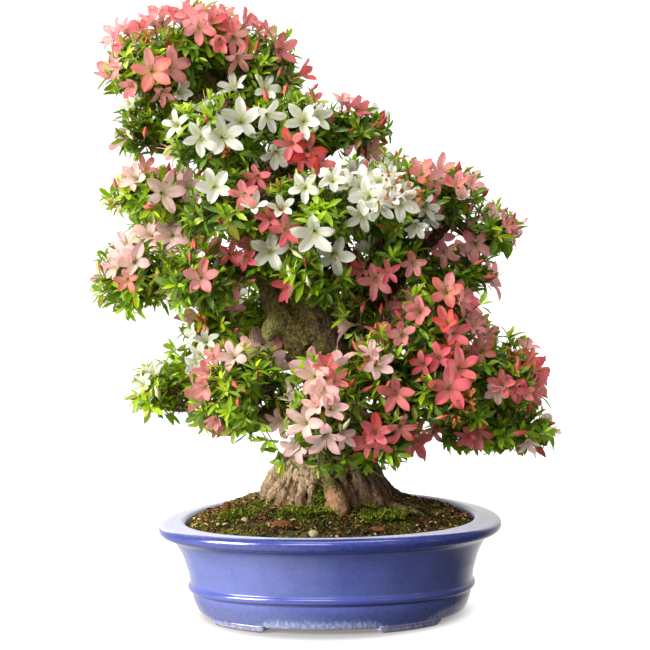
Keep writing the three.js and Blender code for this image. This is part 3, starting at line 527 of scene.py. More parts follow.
def petal_material(name, edge, body, throat, deep, spots, spot_strength):
    """Petals on a map of 4 by 4 tiles: the third row's tiles carry the spotted upper lobe."""
    m = Material(name)
    place, tile = m.tiled(4)
    x, y, _ = m.split(place)
    col, row, _ = m.split(tile)
    chance = m.white(tile)
    chance2 = m.white(m.vec("ADD", tile, (3.0, 17.0, 5.0)))
    side = m.math("ABSOLUTE", m.math("SUBTRACT", x, 0.5))
    wave = m.noise(m.vec("ADD", m.scaled(place, (2.2, 2.2, 1.0)), m.scaled(tile, 7.7)), 1.0, 2.0)
    streak = m.noise(m.vec("ADD", m.scaled(place, (16.0, 1.6, 1.0)), m.scaled(tile, 3.1)), 1.0, 3.0, 0.6, 0.2)
    out = m.math("ADD", y, m.map(wave, 0.3, 0.7, -0.12, 0.12))
    colour = m.mix(m.map(out, 0.45, 0.98, 0.0, 1.0, True), body, edge)
    colour = m.mix(m.map(side, 0.22, 0.46, 0.0, 0.75, True), colour, edge)
    colour = m.mix(m.math("MULTIPLY", m.map(side, 0.0, 0.12, 1.0, 0.0, True), m.map(out, 0.3, 0.9, 0.55, 0.0)), colour, throat)
    colour = m.mix(m.map(out, 0.22, 0.5, 1.0, 0.0, True), colour, throat)
    colour = m.mix(m.map(out, 0.06, 0.26, 0.75, 0.0, True), colour, deep)
    colour = m.mix(m.map(streak, 0.45, 0.75, 0.0, 0.34), colour, m.mix(0.5, colour, deep))
    # Fine veins that fan out from the foot of the lobe, and a crease along its middle.
    fan = m.math("DIVIDE", m.math("SUBTRACT", x, 0.5), m.math("ADD", m.math("MULTIPLY", y, 0.8), 0.35))
    vein = m.math("SINE", m.math("ADD", m.math("MULTIPLY", fan, 62.0), m.math("MULTIPLY", wave, 5.0)))
    colour = m.mix(m.math("MULTIPLY", m.map(vein, 0.55, 1.0, 0.0, 0.2, True), m.map(y, 0.2, 0.9, 1.0, 0.3)), colour, m.mix(0.55, colour, m.mix(0.5, throat, deep)))
    crease = m.math("MULTIPLY", m.map(side, 0.0, 0.045, 1.0, 0.0, True), m.map(y, 0.4, 0.95, 0.42, 0.1))
    colour = m.mix(crease, colour, m.mix(0.6, colour, deep))
    colour = m.mix(m.map(streak, 0.22, 0.42, 0.25, 0.0), colour, m.mix(0.5, colour, (1.0, 1.0, 1.0)))
    dots = m.voronoi(m.vec("ADD", m.scaled(place, (9.0, 14.0, 1.0)), m.scaled(tile, 2.0)), 1.0)
    upper = m.math("MULTIPLY", m.math("GREATER_THAN", row, 1.5), m.math("LESS_THAN", row, 2.5))
    blotch = m.math("MULTIPLY", m.map(side, 0.14, 0.3, 1.0, 0.0), m.math("MULTIPLY", m.map(y, 0.26, 0.36, 0.0, 1.0), m.map(y, 0.58, 0.76, 1.0, 0.0)))
    blotch = m.math("MULTIPLY", m.math("MULTIPLY", blotch, upper), m.map(dots, 0.2, 0.34, 1.0, 0.0))
    colour = m.mix(m.math("MULTIPLY", blotch, spot_strength), colour, spots)
    colour = m.hsv(colour, m.map(chance, 0, 1, 0.49, 0.51), m.map(chance2, 0, 1, 0.85, 1.12), m.map(chance, 0, 1, 0.93, 1.04))
    height = m.math("ADD", m.math("SUBTRACT", m.math("MULTIPLY", streak, 0.7), m.math("MULTIPLY", vein, 0.16)), m.math("MULTIPLY", wave, 0.6))
    return m.finish(colour, m.map(wave, 0.3, 0.7, 0.5, 0.68), m.bump(height, 0.55, 0.0011), clear=0.4,
                    clear_colour=m.mix(0.2, colour, (1.0, 1.0, 1.0)), Specular_IOR_Level=0.2)


def strand_material(name, low, high, rough=0.6, clear=None):
    """For stamens, calyxes, buds and other narrow parts: streaked along the part."""
    m = Material(name)
    place, tile = m.tiled(4)
    x, y, _ = m.split(place)
    streak = m.noise(m.vec("ADD", m.scaled(place, (7.0, 1.5, 1.0)), m.scaled(tile, 4.1)), 1.0, 3.0, 0.6)
    colour = m.mix(m.map(y, 0.05, 0.95, 0.0, 1.0), low, high)
    colour = m.mix(m.map(streak, 0.3, 0.7, 0.0, 0.3), colour, m.mix(0.5, colour, low))
    colour = m.hsv(colour, 0.5, 1.0, m.map(m.white(tile), 0, 1, 0.85, 1.1))
    return m.finish(colour, rough, m.bump(streak, 0.3, 0.0005), clear=clear, Specular_IOR_Level=0.3)


def twig_material():
    m = Material("twig_bark")
    place, tile = m.tiled(4)
    x, y, _ = m.split(place)
    chance = m.white(tile)
    grain = m.noise(m.vec("ADD", m.scaled(place, (6.0, 14.0, 1.0)), m.scaled(tile, 4.7)), 1.0, 4.0, 0.6)
    colour = m.mix(m.map(grain, 0.3, 0.7), srgb(58, 44, 32), srgb(112, 92, 66))
    colour = m.mix(m.map(y, 0.7, 1.0, 0.0, 0.6), colour, srgb(120, 118, 58))
    colour = m.hsv(colour, 0.5, m.map(chance, 0, 1, 0.8, 1.15), m.map(chance, 0, 1, 0.75, 1.2))
    return m.finish(colour, 0.82, m.bump(grain, 0.6, 0.0006), Specular_IOR_Level=0.25)


def bark_material():
    m = Material("bark")
    at = m.node("TexCoord", 3)
    geo = m.t.nodes.new("ShaderNodeNewGeometry")
    _, _, nz = m.split(geo.outputs["Normal"])
    px, py, pz = m.split(at)
    hollow = m.node("Attribute", 2, {"attribute_name": "hollow"})
    warped = m.vec("ADD", at, m.scaled(m.node("TexNoise", 1, Vector=at, Scale=55.0, Detail=2.0), 0.014))
    long = m.noise(m.scaled(warped, (230.0, 230.0, 60.0)), 1.0, 5.0, 0.65)
    fine = m.noise(m.scaled(warped, (760.0, 760.0, 420.0)), 1.0, 4.0, 0.68)
    large = m.noise(at, 24.0, 3.0, 0.5)
    flake = m.voronoi(m.scaled(warped, (260.0, 260.0, 150.0)), 1.0)
    coarse = m.noise(m.scaled(warped, (300.0, 300.0, 130.0)), 1.0, 2.5, 0.6)
    colour = m.ramp(m.math("ADD", m.math("MULTIPLY", long, 0.5), m.math("MULTIPLY", coarse, 0.5)), [(0.34, srgb(50, 32, 22)), (0.45, srgb(104, 74, 52)), (0.53, srgb(150, 116, 84)), (0.64, srgb(220, 196, 160))])
    colour = m.mix(m.map(fine, 0.3, 0.72, 0.0, 0.5), colour, m.mix(0.5, colour, srgb(206, 186, 150)))
    colour = m.mix(m.map(fine, 0.24, 0.45, 0.55, 0.0), colour, srgb(58, 38, 26))
    rugged = m.noise(m.scaled(warped, (430.0, 430.0, 300.0)), 1.0, 3.0, 0.65)
    colour = m.mix(m.map(rugged, 0.53, 0.66, 0.0, 0.7), colour, srgb(196, 176, 142))
    colour = m.mix(m.map(rugged, 0.33, 0.46, 0.75, 0.0), colour, srgb(56, 36, 24))
    colour = m.mix(m.map(large, 0.46, 0.62, 0.0, 0.55), colour, m.mix(0.6, colour, srgb(146, 92, 64)))
    # Painted light on the ridges and painted shade in the hollows, by how far the skin lies below its surroundings.
    colour = m.mix(m.math("MULTIPLY", m.map(hollow, 0.20, 0.40, 0.55, 0.0), m.map(pz, 0.20, 0.24, 1.0, 0.3)), colour, m.mix(0.55, colour, srgb(226, 206, 168)))
    colour = m.mix(m.map(hollow, 0.45, 0.80, 0.0, 0.92, True), colour, srgb(34, 21, 14))
    # The roots on the left of the flare are pale and weathered, and lighter still as painted light on the side the
    # light comes from; the dark gaps between them are painted shade.
    patchy = m.map(large, 0.36, 0.56, 0.25, 0.75)
    pale = m.math("MULTIPLY", m.map(px, -0.030, -0.004, 1.0, 0.0, True), m.math("MULTIPLY", m.map(pz, 0.20, 0.17, 0.0, 1.0, True), m.map(hollow, 0.38, 0.62, 1.0, 0.0, True)))
    pale = m.math("MULTIPLY", m.math("MULTIPLY", m.math("MULTIPLY", pale, patchy), m.map(coarse, 0.40, 0.54, 0.35, 1.0)), m.map(pz, 0.134, 0.160, 0.15, 1.0, True))
    colour = m.mix(pale, colour, m.mix(m.map(fine, 0.3, 0.7), srgb(170, 138, 104), srgb(234, 212, 174)))
    # The roots' ends, near the soil, are a darker reddish brown.
    ends = m.math("MULTIPLY", m.map(pz, 0.134, 0.172, 0.85, 0.0, True), m.map(coarse, 0.60, 0.42, 0.35, 1.0))
    colour = m.mix(ends, colour, srgb(112, 68, 45))
    # Small pale pores, like those of cork.
    pores = m.voronoi(m.scaled(warped, (900.0, 900.0, 700.0)), 1.0)
    colour = m.mix(m.math("MULTIPLY", m.map(pores, 0.16, 0.30, 0.5, 0.0), m.map(pz, 0.20, 0.17, 0.2, 1.0)), colour, srgb(204, 168, 128))
    # The knob in front is orange-brown.
    knob = m.map(m.vec("DISTANCE", at, (0.0185, -0.074, 0.145), 1), 0.015, 0.021, 0.62, 0.0, True)
    colour = m.mix(knob, colour, m.mix(m.map(fine, 0.32, 0.62), srgb(128, 82, 54), srgb(196, 146, 104)))
    # The right of the flare is a redder brown, and darker as painted shade on the side away from the light.
    redder = m.math("MULTIPLY", m.map(px, 0.016, 0.034, 0.0, 0.62, True), m.map(pz, 0.20, 0.16, 0.0, 1.0, True))
    colour = m.mix(redder, colour, m.mix(0.78, colour, srgb(78, 46, 30)))
    # The wood above the flare is darker, and darker still on the right as painted shade on the side away from the
    # light; moss and grey-green lichen grow on it.
    dark = m.math("ADD", m.map(pz, 0.195, 0.27, 0.0, 0.35, True), m.math("MULTIPLY", m.map(pz, 0.21, 0.27, 0.0, 0.58, True), m.map(px, -0.034, -0.004, 0.0, 1.0, True)))
    colour = m.mix(dark, colour, m.mix(0.84, colour, srgb(27, 21, 13)))
    spread = m.noise(at, 70.0, 5.0, 0.65)
    spread2 = m.noise(m.vec("ADD", at, (0.3, 0.1, 0.2)), 210.0, 4.0, 0.7)
    grit = m.noise(at, 800.0, 3.0, 0.7)
    climb = m.math("ADD", m.map(nz, -0.4, 0.9, 0.0, 0.12), m.map(pz, 0.126, 0.142, 0.22, 0.0, True))
    upper = m.math("ADD", m.map(pz, 0.19, 0.34, 0.0, 0.10), m.math("MULTIPLY", m.map(pz, 0.22, 0.30, 0.0, 0.18), m.map(px, -0.01, -0.03, 0.0, 1.0, True)))
    green = m.math("MULTIPLY", m.map(m.math("ABSOLUTE", m.math("SUBTRACT", px, 0.004)), 0.006, 0.022, 1.0, 0.0, True), m.math("MULTIPLY", m.map(pz, 0.150, 0.162, 0.0, 0.15), m.map(pz, 0.185, 0.2, 1.0, 0.0)))
    moss = m.map(m.math("ADD", m.math("ADD", spread, climb), m.math("ADD", upper, green)), 0.62, 0.75, 0.0, 1.0, True)
    moss_colour = m.mix(m.map(spread2, 0.38, 0.62), srgb(48, 46, 14), srgb(150, 138, 58))
    moss_colour = m.mix(m.map(grit, 0.52, 0.72, 0.0, 0.7), moss_colour, srgb(176, 162, 104))
    moss_colour = m.mix(m.map(grit, 0.28, 0.42, 0.7, 0.0), moss_colour, srgb(36, 34, 14))
    colour = m.mix(m.math("MULTIPLY", moss, 0.88), colour, moss_colour)
    lichen = m.map(m.math("ADD", spread2, m.map(large, 0.3, 0.7, -0.1, 0.1)), 0.62, 0.70, 0.0, 1.0, True)
    colour = m.mix(m.math("MULTIPLY", lichen, 0.5), colour, srgb(172, 172, 126))
    # The swollen scar on the left is covered in pale yellow-green lichen.
    scar = m.map(m.math("ADD", m.vec("DISTANCE", at, (-0.060, -0.026, 0.333), 1), m.map(spread2, 0.3, 0.7, -0.007, 0.007)), 0.010, 0.020, 1.0, 0.0, True)
    colour = m.mix(m.math("MULTIPLY", scar, 0.8), colour, m.mix(m.map(m.math("ADD", m.math("MULTIPLY", grit, 0.5), m.math("MULTIPLY", spread2, 0.5)), 0.42, 0.58), srgb(112, 106, 48), srgb(206, 200, 124)))
    # Bright moss sits in the gaps between the roots' ends.
    nest = m.math("MULTIPLY", m.map(m.math("ADD", pz, m.map(spread2, 0.3, 0.7, -0.006, 0.006)), 0.126, 0.142, 1.0, 0.0, True), m.map(m.math("ADD", hollow, m.map(spread, 0.35, 0.65, -0.3, 0.3)), 0.42, 0.6, 0.0, 0.9, True))
    colour = m.mix(nest, colour, m.mix(m.map(grit, 0.35, 0.65), srgb(52, 76, 10), srgb(138, 158, 36)))
    height = m.math("ADD", m.math("ADD", m.math("MULTIPLY", long, 1.0), m.math("ADD", m.math("MULTIPLY", coarse, 1.6), m.math("MULTIPLY", rugged, 0.9))), m.math("ADD", m.math("MULTIPLY", fine, 0.35), m.math("MULTIPLY", flake, -0.4)))
    height = m.math("ADD", height, m.math("MULTIPLY", m.math("MULTIPLY", moss, grit), 0.9))
    return m.finish(colour, m.map(fine, 0.3, 0.7, 0.7, 0.95), m.bump(height, 1.0, 0.0042), Specular_IOR_Level=0.25)


def soil_light_and_shade(m, colour):
    """Painted shade darkens the soil along the front, and painted light brightens it toward both ends."""
    px, py, _ = m.split(m.node("TexCoord", 3))
    front = m.math("MULTIPLY", m.map(py, -0.118, -0.070, 0.70, 1.0, True), m.map(m.math("ABSOLUTE", px), 0.060, 0.145, 1.0, 1.42, True))
    return m.hsv(colour, 0.5, 1.0, front)


def soil_material():
    m = Material("soil")
    at = m.node("TexCoord", 3)
    grain = m.voronoi(at, 400.0)
    cell = m.voronoi(at, 400.0, out=1)
    big = m.voronoi(at, 180.0)
    bigcell = m.voronoi(at, 180.0, out=1)
    r, g, _ = m.split(cell)
    r2, g2, _ = m.split(bigcell)
    fine = m.noise(at, 900.0, 4.0, 0.7)
    colour = m.ramp(r, [(0.0, srgb(16, 11, 6)), (0.34, srgb(34, 23, 12)), (0.60, srgb(58, 40, 19)), (0.78, srgb(96, 68, 34)), (0.91, srgb(134, 100, 52)), (0.97, srgb(176, 148, 94))], "CONSTANT")
    colour = m.mix(m.math("MULTIPLY", m.math("GREATER_THAN", r2, 0.7), 0.75), colour, m.ramp(g2, [(0.0, srgb(34, 22, 14)), (0.35, srgb(120, 66, 34)), (0.7, srgb(154, 100, 50))], "CONSTANT"))
    colour = m.mix(m.map(grain, 0.25, 0.6, 0.0, 0.85), colour, srgb(14, 10, 6))
    spread = m.noise(at, 34.0, 6.0, 0.68)
    spread2 = m.noise(at, 300.0, 4.0, 0.7)
    moss = m.map(m.math("ADD", spread, m.math("MULTIPLY", spread2, 0.25)), 0.56, 0.66, 0.0, 1.0, True)
    moss_colour = m.ramp(m.noise(at, 620.0, 3.0, 0.6), [(0.3, srgb(30, 38, 8)), (0.5, srgb(80, 88, 20)), (0.7, srgb(150, 148, 54))])
    colour = soil_light_and_shade(m, m.mix(m.math("MULTIPLY", moss, 0.85), colour, moss_colour))
    height = m.math("ADD", m.math("MULTIPLY", grain, -0.9), m.math("ADD", m.math("MULTIPLY", big, -0.6), m.math("MULTIPLY", fine, 0.35)))
    return m.finish(colour, 0.92, m.bump(height, 1.0, 0.002), Specular_IOR_Level=0.2)


def grain_material(name, stops, rough=0.9):
    """Loose bits: the tile gives each its colour."""
    m = Material(name)
    place, tile = m.tiled(8)
    mott = m.noise(m.vec("ADD", m.scaled(place, (6.0, 6.0, 1.0)), m.scaled(tile, 3.7)), 1.0, 4.0, 0.7)
    colour = m.ramp(m.white(tile), stops, "CONSTANT")
    colour = soil_light_and_shade(m, m.mix(m.map(mott, 0.35, 0.7, 0.0, 0.6), colour, m.mix(0.5, colour, srgb(20, 14, 8))))
    return m.finish(colour, rough, m.bump(mott, 0.8, 0.0006), Specular_IOR_Level=0.2)


def moss_material(name="moss", fresh=False):
    m = Material(name)
    place, tile = m.tiled(8)
    x, y, _ = m.split(place)
    chance = m.white(tile)
    if fresh:
        stops = [(0.0, srgb(40, 64, 8)), (0.25, srgb(70, 98, 10)), (0.48, srgb(100, 126, 18)), (0.7, srgb(142, 154, 34)), (0.86, srgb(172, 172, 60)), (0.93, srgb(110, 82, 32))]
    else:
        stops = [(0.0, srgb(32, 36, 8)), (0.26, srgb(60, 64, 14)), (0.46, srgb(92, 90, 22)), (0.61, srgb(128, 120, 34)), (0.72, srgb(168, 154, 66)), (0.79, srgb(108, 70, 30)), (0.88, srgb(46, 28, 12))]
    colour = m.ramp(chance, stops, "CONSTANT")
    colour = m.mix(m.map(y, 0.0, 0.7, 0.8, 0.0), colour, srgb(26, 24, 8))
    fine = m.noise(m.vec("ADD", m.scaled(place, (9.0, 9.0, 1.0)), m.scaled(tile, 3.7)), 1.0, 3.0, 0.7)
    colour = m.mix(m.map(fine, 0.4, 0.7, 0.0, 0.4), colour, m.mix(0.5, colour, srgb(190, 190, 84)))
    if not fresh:
        colour = soil_light_and_shade(m, colour)
    return m.finish(colour, 0.85, m.bump(fine, 0.5, 0.0005), clear=0.15, Specular_IOR_Level=0.2)


def mound_material():
    m = Material("moss_mound")
    at = m.node("TexCoord", 3)
    fine = m.noise(at, 900.0, 4.0, 0.7)
    cells = m.voronoi(at, 620.0)
    large = m.noise(at, 90.0, 3.0, 0.6)
    colour = m.ramp(m.math("ADD", m.math("MULTIPLY", fine, 0.6), m.math("MULTIPLY", large, 0.4)), [(0.32, srgb(34, 44, 8)), (0.48, srgb(70, 86, 14)), (0.62, srgb(116, 130, 28))])
    colour = m.mix(m.map(cells, 0.3, 0.7, 0.0, 0.6), colour, srgb(28, 30, 10))
    return m.finish(colour, 0.95, m.bump(m.math("SUBTRACT", fine, cells), 1.0, 0.0015), Specular_IOR_Level=0.15)


def stone_material(name, low, high):
    m = Material(name)
    at = m.node("TexCoord", 3)
    mott = m.noise(at, 420.0, 5.0, 0.65)
    pits = m.voronoi(at, 900.0)
    colour = m.mix(m.map(mott, 0.32, 0.68), low, high)
    colour = m.mix(m.map(pits, 0.0, 0.25, 0.35, 0.0), colour, m.mix(0.5, colour, srgb(60, 50, 30)))
    return m.finish(colour, m.map(mott, 0.3, 0.7, 0.75, 0.95), m.bump(m.math("ADD", mott, m.math("MULTIPLY", pits, 0.5)), 0.8, 0.0008), Specular_IOR_Level=0.25)


def chip_material():
    m = Material("bark_chip")
    at = m.node("TexCoord", 3)
    layers = m.noise(m.scaled(at, (240.0, 240.0, 900.0)), 1.0, 4.0, 0.6, 0.3)
    colour = m.ramp(layers, [(0.3, srgb(52, 28, 16)), (0.5, srgb(104, 60, 34)), (0.66, srgb(140, 88, 52)), (0.8, srgb(172, 122, 78))])
    return m.finish(colour, 0.85, m.bump(layers, 1.0, 0.0012), Specular_IOR_Level=0.25)


def glaze_material():
    """The glaze by its place on the pot: 'run' is the distance down the wall from the rim's inner edge, 'lift' the height above the table."""
    m = Material("glaze")
    at = m.node("TexCoord", 3)
    ax, ay, az = m.split(at)
    run = m.node("Attribute", 2, {"attribute_name": "run"})
    lift = m.node("Attribute", 2, {"attribute_name": "lift"})
    speck = m.noise(at, 1300.0, 3.0, 0.6)
    cloud = m.noise(at, 30.0, 3.0, 0.5)
    mott = m.noise(at, 230.0, 4.0, 0.6)
    pin = m.voronoi(at, 300.0)
    body = m.mix(m.map(cloud, 0.35, 0.68), srgb(71, 82, 151), srgb(81, 93, 163))
    body = m.mix(m.map(mott, 0.42, 0.7, 0.0, 0.22), body, srgb(100, 111, 182))
    body = m.mix(m.map(speck, 0.5, 0.74, 0.0, 0.28), body, srgb(120, 131, 192))
    body = m.mix(m.map(speck, 0.22, 0.4, 0.22, 0.0), body, srgb(54, 60, 132))
    body = m.mix(m.map(pin, 0.0, 0.07, 0.5, 0.0), body, srgb(46, 50, 112))
    wobble = m.map(cloud, 0.3, 0.7, -0.6, 0.6)
    d = m.math("ADD", run, wobble)
    # At the front and back the rim is narrower than at the ends, and its pale top ends sooner.
    narrow = m.map(m.math("DIVIDE", m.math("ABSOLUTE", ay), m.math("SQRT", m.math("ADD", m.math("MULTIPLY", ax, ax), m.math("MULTIPLY", ay, ay)))), 0.2, 0.92, 0.0, 13.5, True)
    lip = m.math("ADD", d, narrow)
    # Rim's flat top, where the glaze is thin over a pale body.
    top = m.mix(m.map(mott, 0.35, 0.7), srgb(170, 173, 206), srgb(192, 194, 216))
    top = m.mix(m.map(speck, 0.55, 0.75, 0.0, 0.4), top, srgb(150, 155, 200))
    colour = m.mix(m.math("MULTIPLY", m.map(d, -16.0, -4.0, 0.0, 1.0, True), m.map(lip, 24.0, 26.6, 1.0, 0.0, True)), body, top)
    # The lip's edge, the groove below it and the bead are a deeper blue: glaze pools in the groove, and on the lip's
    # edge and the bead the deeper blue is painted shade and a painted reflection of the darker room.
    lip_pool_and_shade = m.math("MULTIPLY", m.map(lip, 24.5, 27.5, 0.0, 1.0, True), m.map(d, 36.0, 42.0, 1.0, 0.0, True))
    colour = m.mix(m.math("MULTIPLY", lip_pool_and_shade, 0.9), colour, m.mix(m.map(mott, 0.35, 0.7), srgb(36, 45, 122), srgb(51, 63, 145)))
    groove = m.math("MULTIPLY", m.map(d, 41.0, 43.5, 0.0, 1.0, True), m.map(d, 47.0, 51.0, 1.0, 0.0, True))
    colour = m.mix(m.math("MULTIPLY", groove, 0.75), colour, srgb(44, 48, 116))
    bead = m.math("MULTIPLY", m.map(lift, 36.5, 38.0, 0.0, 1.0, True), m.map(lift, 42.5, 46.5, 1.0, 0.0, True))
    colour = m.mix(m.math("MULTIPLY", bead, 0.5), colour, srgb(56, 66, 158))
    # Under the bead the step is painted dark: glaze pooled in the crease, with painted shade under the bead.
    step = m.math("MULTIPLY", m.map(lift, 32.4, 34.0, 0.0, 1.0, True), m.map(lift, 35.6, 37.0, 1.0, 0.0, True))
    colour = m.mix(m.math("MULTIPLY", step, 0.8), colour, srgb(38, 42, 104))
    # Toward the foot the glaze is darker: painted shade low on the wall.
    colour = m.mix(m.map(m.math("ADD", lift, wobble), 24.0, 33.0, 0.8, 0.0, True), colour, m.mix(m.map(mott, 0.35, 0.7), srgb(60, 71, 132), srgb(72, 83, 146)))
    # Milky glaze that ends in a ragged edge: highest between the feet, thin elsewhere.
    drip = m.noise(m.scaled(at, (240.0, 240.0, 40.0)), 1.0, 5.0, 0.7)
    fleck = m.noise(m.scaled(at, (420.0, 420.0, 120.0)), 1.0, 3.0, 0.55)
    between = m.map(m.math("ABSOLUTE", ax), 0.052, 0.080, 1.0, 0.0, True)
    reach = m.math("ADD", m.math("MULTIPLY", between, 9.0), 7.2)
    # At the right end of the pot the milky streaks reach higher.
    reach = m.math("ADD", reach, m.map(ax, 0.100, 0.146, 0.0, 15.0, True))
    reach = m.math("ADD", reach, m.map(drip, 0.3, 0.7, -2.0, 2.0))
    milk = m.map(m.math("SUBTRACT", lift, reach), -5.2, 3.6, 1.0, 0.0, True)
    milk = m.math("MULTIPLY", milk, m.map(fleck, 0.3, 0.5, 0.6, 1.0, True))
    milk_colour = m.mix(m.map(fleck, 0.4, 0.68), srgb(112, 125, 172), srgb(166, 176, 204))
    colour = m.mix(m.math("MULTIPLY", milk, 0.9), colour, milk_colour)
    rough_edge = m.math("ADD", lift, m.map(mott, 0.3, 0.7, -0.5, 0.5))
    line = m.math("MULTIPLY", m.map(rough_edge, 5.6, 6.3, 0.0, 1.0), m.map(rough_edge, 7.0, 7.9, 1.0, 0.0))
    colour = m.mix(m.math("MULTIPLY", line, 0.75), colour, srgb(122, 88, 74))
    clay = m.map(rough_edge, 1.3, 2.1, 1.0, 0.0, True)
    colour = m.mix(clay, colour, m.mix(m.map(speck, 0.35, 0.7), srgb(118, 66, 42), srgb(150, 94, 62)))
    under = m.math("MULTIPLY", m.math("LESS_THAN", m.split(m.t.nodes.new("ShaderNodeNewGeometry").outputs["Normal"])[2], -0.9), m.math("LESS_THAN", lift, 6.9))
    colour = m.mix(under, colour, m.mix(m.map(mott, 0.35, 0.7), srgb(132, 84, 58), srgb(168, 116, 84)))
    # A small green-brown fleck in the front.
    fx = m.vec("DISTANCE", at, (-0.0105, -0.1215, 0.055), 1)
    colour = m.mix(m.map(m.math("ADD", fx, m.map(speck, 0.3, 0.7, -0.0006, 0.0006)), 0.0010, 0.0020, 0.75, 0.0), colour, srgb(84, 98, 70))
    bare = m.math("MAXIMUM", under, clay)
    rough = m.math("ADD", m.map(mott, 0.3, 0.7, 0.17, 0.25), m.math("MULTIPLY", m.math("MAXIMUM", bare, m.math("MULTIPLY", milk, 0.25)), 0.65))
    height = m.math("ADD", m.math("MULTIPLY", cloud, 1.0), m.math("ADD", m.math("MULTIPLY", mott, 0.14), m.math("MULTIPLY", pin, 0.05)))
    return m.finish(colour, rough, m.bump(height, 0.2, 0.0012), Specular_IOR_Level=0.66, Coat_Weight=0.5, Coat_Roughness=0.14)


def plastic_material():
    m = Material("mesh_plastic")
    at = m.node("TexCoord", 3)
    n = m.noise(at, 700.0, 3.0, 0.6)
    dust = m.noise(at, 90.0, 4.0, 0.6)
    colour = m.mix(m.map(dust, 0.4, 0.75, 0.0, 0.5), srgb(26, 27, 26), srgb(84, 70, 54))
    return m.finish(colour, m.map(n, 0.3, 0.7, 0.42, 0.62), m.bump(n, 0.4, 0.0004))


def wire_material():
    m = Material("staple_wire")
    at = m.node("TexCoord", 3)
    n = m.noise(m.scaled(at, (900.0, 900.0, 900.0)), 1.0, 3.0, 0.6)
    colour = m.mix(m.map(n, 0.3, 0.7), srgb(120, 84, 58), srgb(156, 116, 82))
    return m.finish(colour, m.map(n, 0.3, 0.7, 0.3, 0.5), m.bump(n, 0.3, 0.0003), Metallic=0.9)


# ------------------------------------------------------------------ camera and light

scene = bpy.context.scene
camera = bpy.data.cameras.new("camera")
eye = bpy.data.objects.new("camera", camera)
scene.collection.objects.link(eye)
scene.camera = eye
camera.sensor_width = 36.0
camera.lens = FOCAL * 36.0 / SIZE
camera.clip_start, camera.clip_end = 0.05, 60.0
r, u, f = unit(RIGHT), unit(UP), unit(FORWARD)
eye.matrix_world = Matrix(
    ((r[0], u[0], -f[0], EYE[0] * MM), (r[1], u[1], -f[1], EYE[1] * MM), (r[2], u[2], -f[2], EYE[2] * MM), (0, 0, 0, 1))
)

scene.view_settings.view_transform = "Standard"
scene.view_settings.look = "None"

world = bpy.data.worlds.new("studio")
scene.world = world
world.use_nodes = True
wt = world.node_tree
wt.nodes.clear()
wout = wt.nodes.new("ShaderNodeOutputWorld")
wbg = wt.nodes.new("ShaderNodeBackground")
wbg.inputs[0].default_value = (1.0, 0.985, 0.955, 1)
wdir = wt.nodes.new("ShaderNodeTexCoord")
wdot = wt.nodes.new("ShaderNodeVectorMath")
wdot.operation = "DOT_PRODUCT"
wdot.inputs[1].default_value = (-0.62, -0.20, 0.76)
wmap = wt.nodes.new("ShaderNodeMapRange")
wmap.inputs[1].default_value, wmap.inputs[2].default_value = -0.9, 0.9
wmap.inputs[3].default_value, wmap.inputs[4].default_value = 0.11, 0.36
wback = wt.nodes.new("ShaderNodeVectorMath")
wback.operation = "DOT_PRODUCT"
wback.inputs[1].default_value = (-0.12, 0.99, 0.05)
wboard = wt.nodes.new("ShaderNodeMapRange")
wboard.inputs[1].default_value, wboard.inputs[2].default_value = 0.25, 0.75
wboard.inputs[3].default_value, wboard.inputs[4].default_value = 0.0, 0.75
wsum = wt.nodes.new("ShaderNodeMath")
wsum.operation = "ADD"
wt.links.new(wdir.outputs["Generated"], wback.inputs[0])
wt.links.new(wback.outputs["Value"], wboard.inputs[0])
wt.links.new(wmap.outputs[0], wsum.inputs[0])
wt.links.new(wboard.outputs[0], wsum.inputs[1])
# The lit part of the floor, low on the left, as the glaze mirrors it.
wlow = wt.nodes.new("ShaderNodeVectorMath")
wlow.operation = "DOT_PRODUCT"
wlow.inputs[1].default_value = (-0.78, -0.38, -0.50)
wpool = wt.nodes.new("ShaderNodeMapRange")
wpool.inputs[1].default_value, wpool.inputs[2].default_value = 0.58, 0.95
wpool.inputs[3].default_value, wpool.inputs[4].default_value = 0.0, 1.3
wall_light = wt.nodes.new("ShaderNodeMath")
wall_light.operation = "ADD"
wt.links.new(wdir.outputs["Generated"], wlow.inputs[0])
wt.links.new(wlow.outputs["Value"], wpool.inputs[0])
wt.links.new(wsum.outputs[0], wall_light.inputs[0])
wt.links.new(wpool.outputs[0], wall_light.inputs[1])
wt.links.new(wdir.outputs["Generated"], wdot.inputs[0])
wt.links.new(wdot.outputs["Value"], wmap.inputs[0])
wt.links.new(wall_light.outputs[0], wbg.inputs[1])
wt.links.new(wbg.outputs[0], wout.inputs[0])


def area_light(name, at, to, size, watts, colour=(1, 1, 1), size_y=None):
    data = bpy.data.lights.new(name, "AREA")
    data.shape = "RECTANGLE"
    data.size, data.size_y = size, size_y or size
    data.energy = watts
    data.color = colour
    ob = bpy.data.objects.new(name, data)
    scene.collection.objects.link(ob)
    ob.location = at
    ob.rotation_euler = (Vector(to) - Vector(at)).to_track_quat("-Z", "Y").to_euler()
    return ob


area_light("key", (-2.35, -1.5, 1.2), (0, 0, 0.34), 1.5, 162, (1.0, 0.985, 0.955))
area_light("front", (-0.6, -2.6, 1.9), (0, 0, 0.36), 1.3, 34, (1.0, 0.98, 0.94))
area_light("top", (0.1, -0.3, 3.1), (0, 0, 0.3), 2.0, 40, (1.0, 0.99, 0.97))
area_light("strip_right", (1.25, -1.9, 0.75), (0.1, 0, 0.1), 0.10, 0.9, (0.98, 0.99, 1.0), 0.9)
area_light("strip_far", (1.9, -1.1, 0.6), (0.1, 0, 0.1), 0.10, 0.7, (0.98, 0.99, 1.0), 0.9)
area_light("sweep", (0.0, 0.9, 3.6), (0, 3.0, 1.2), 2.4, 110, (1.0, 1.0, 1.0))

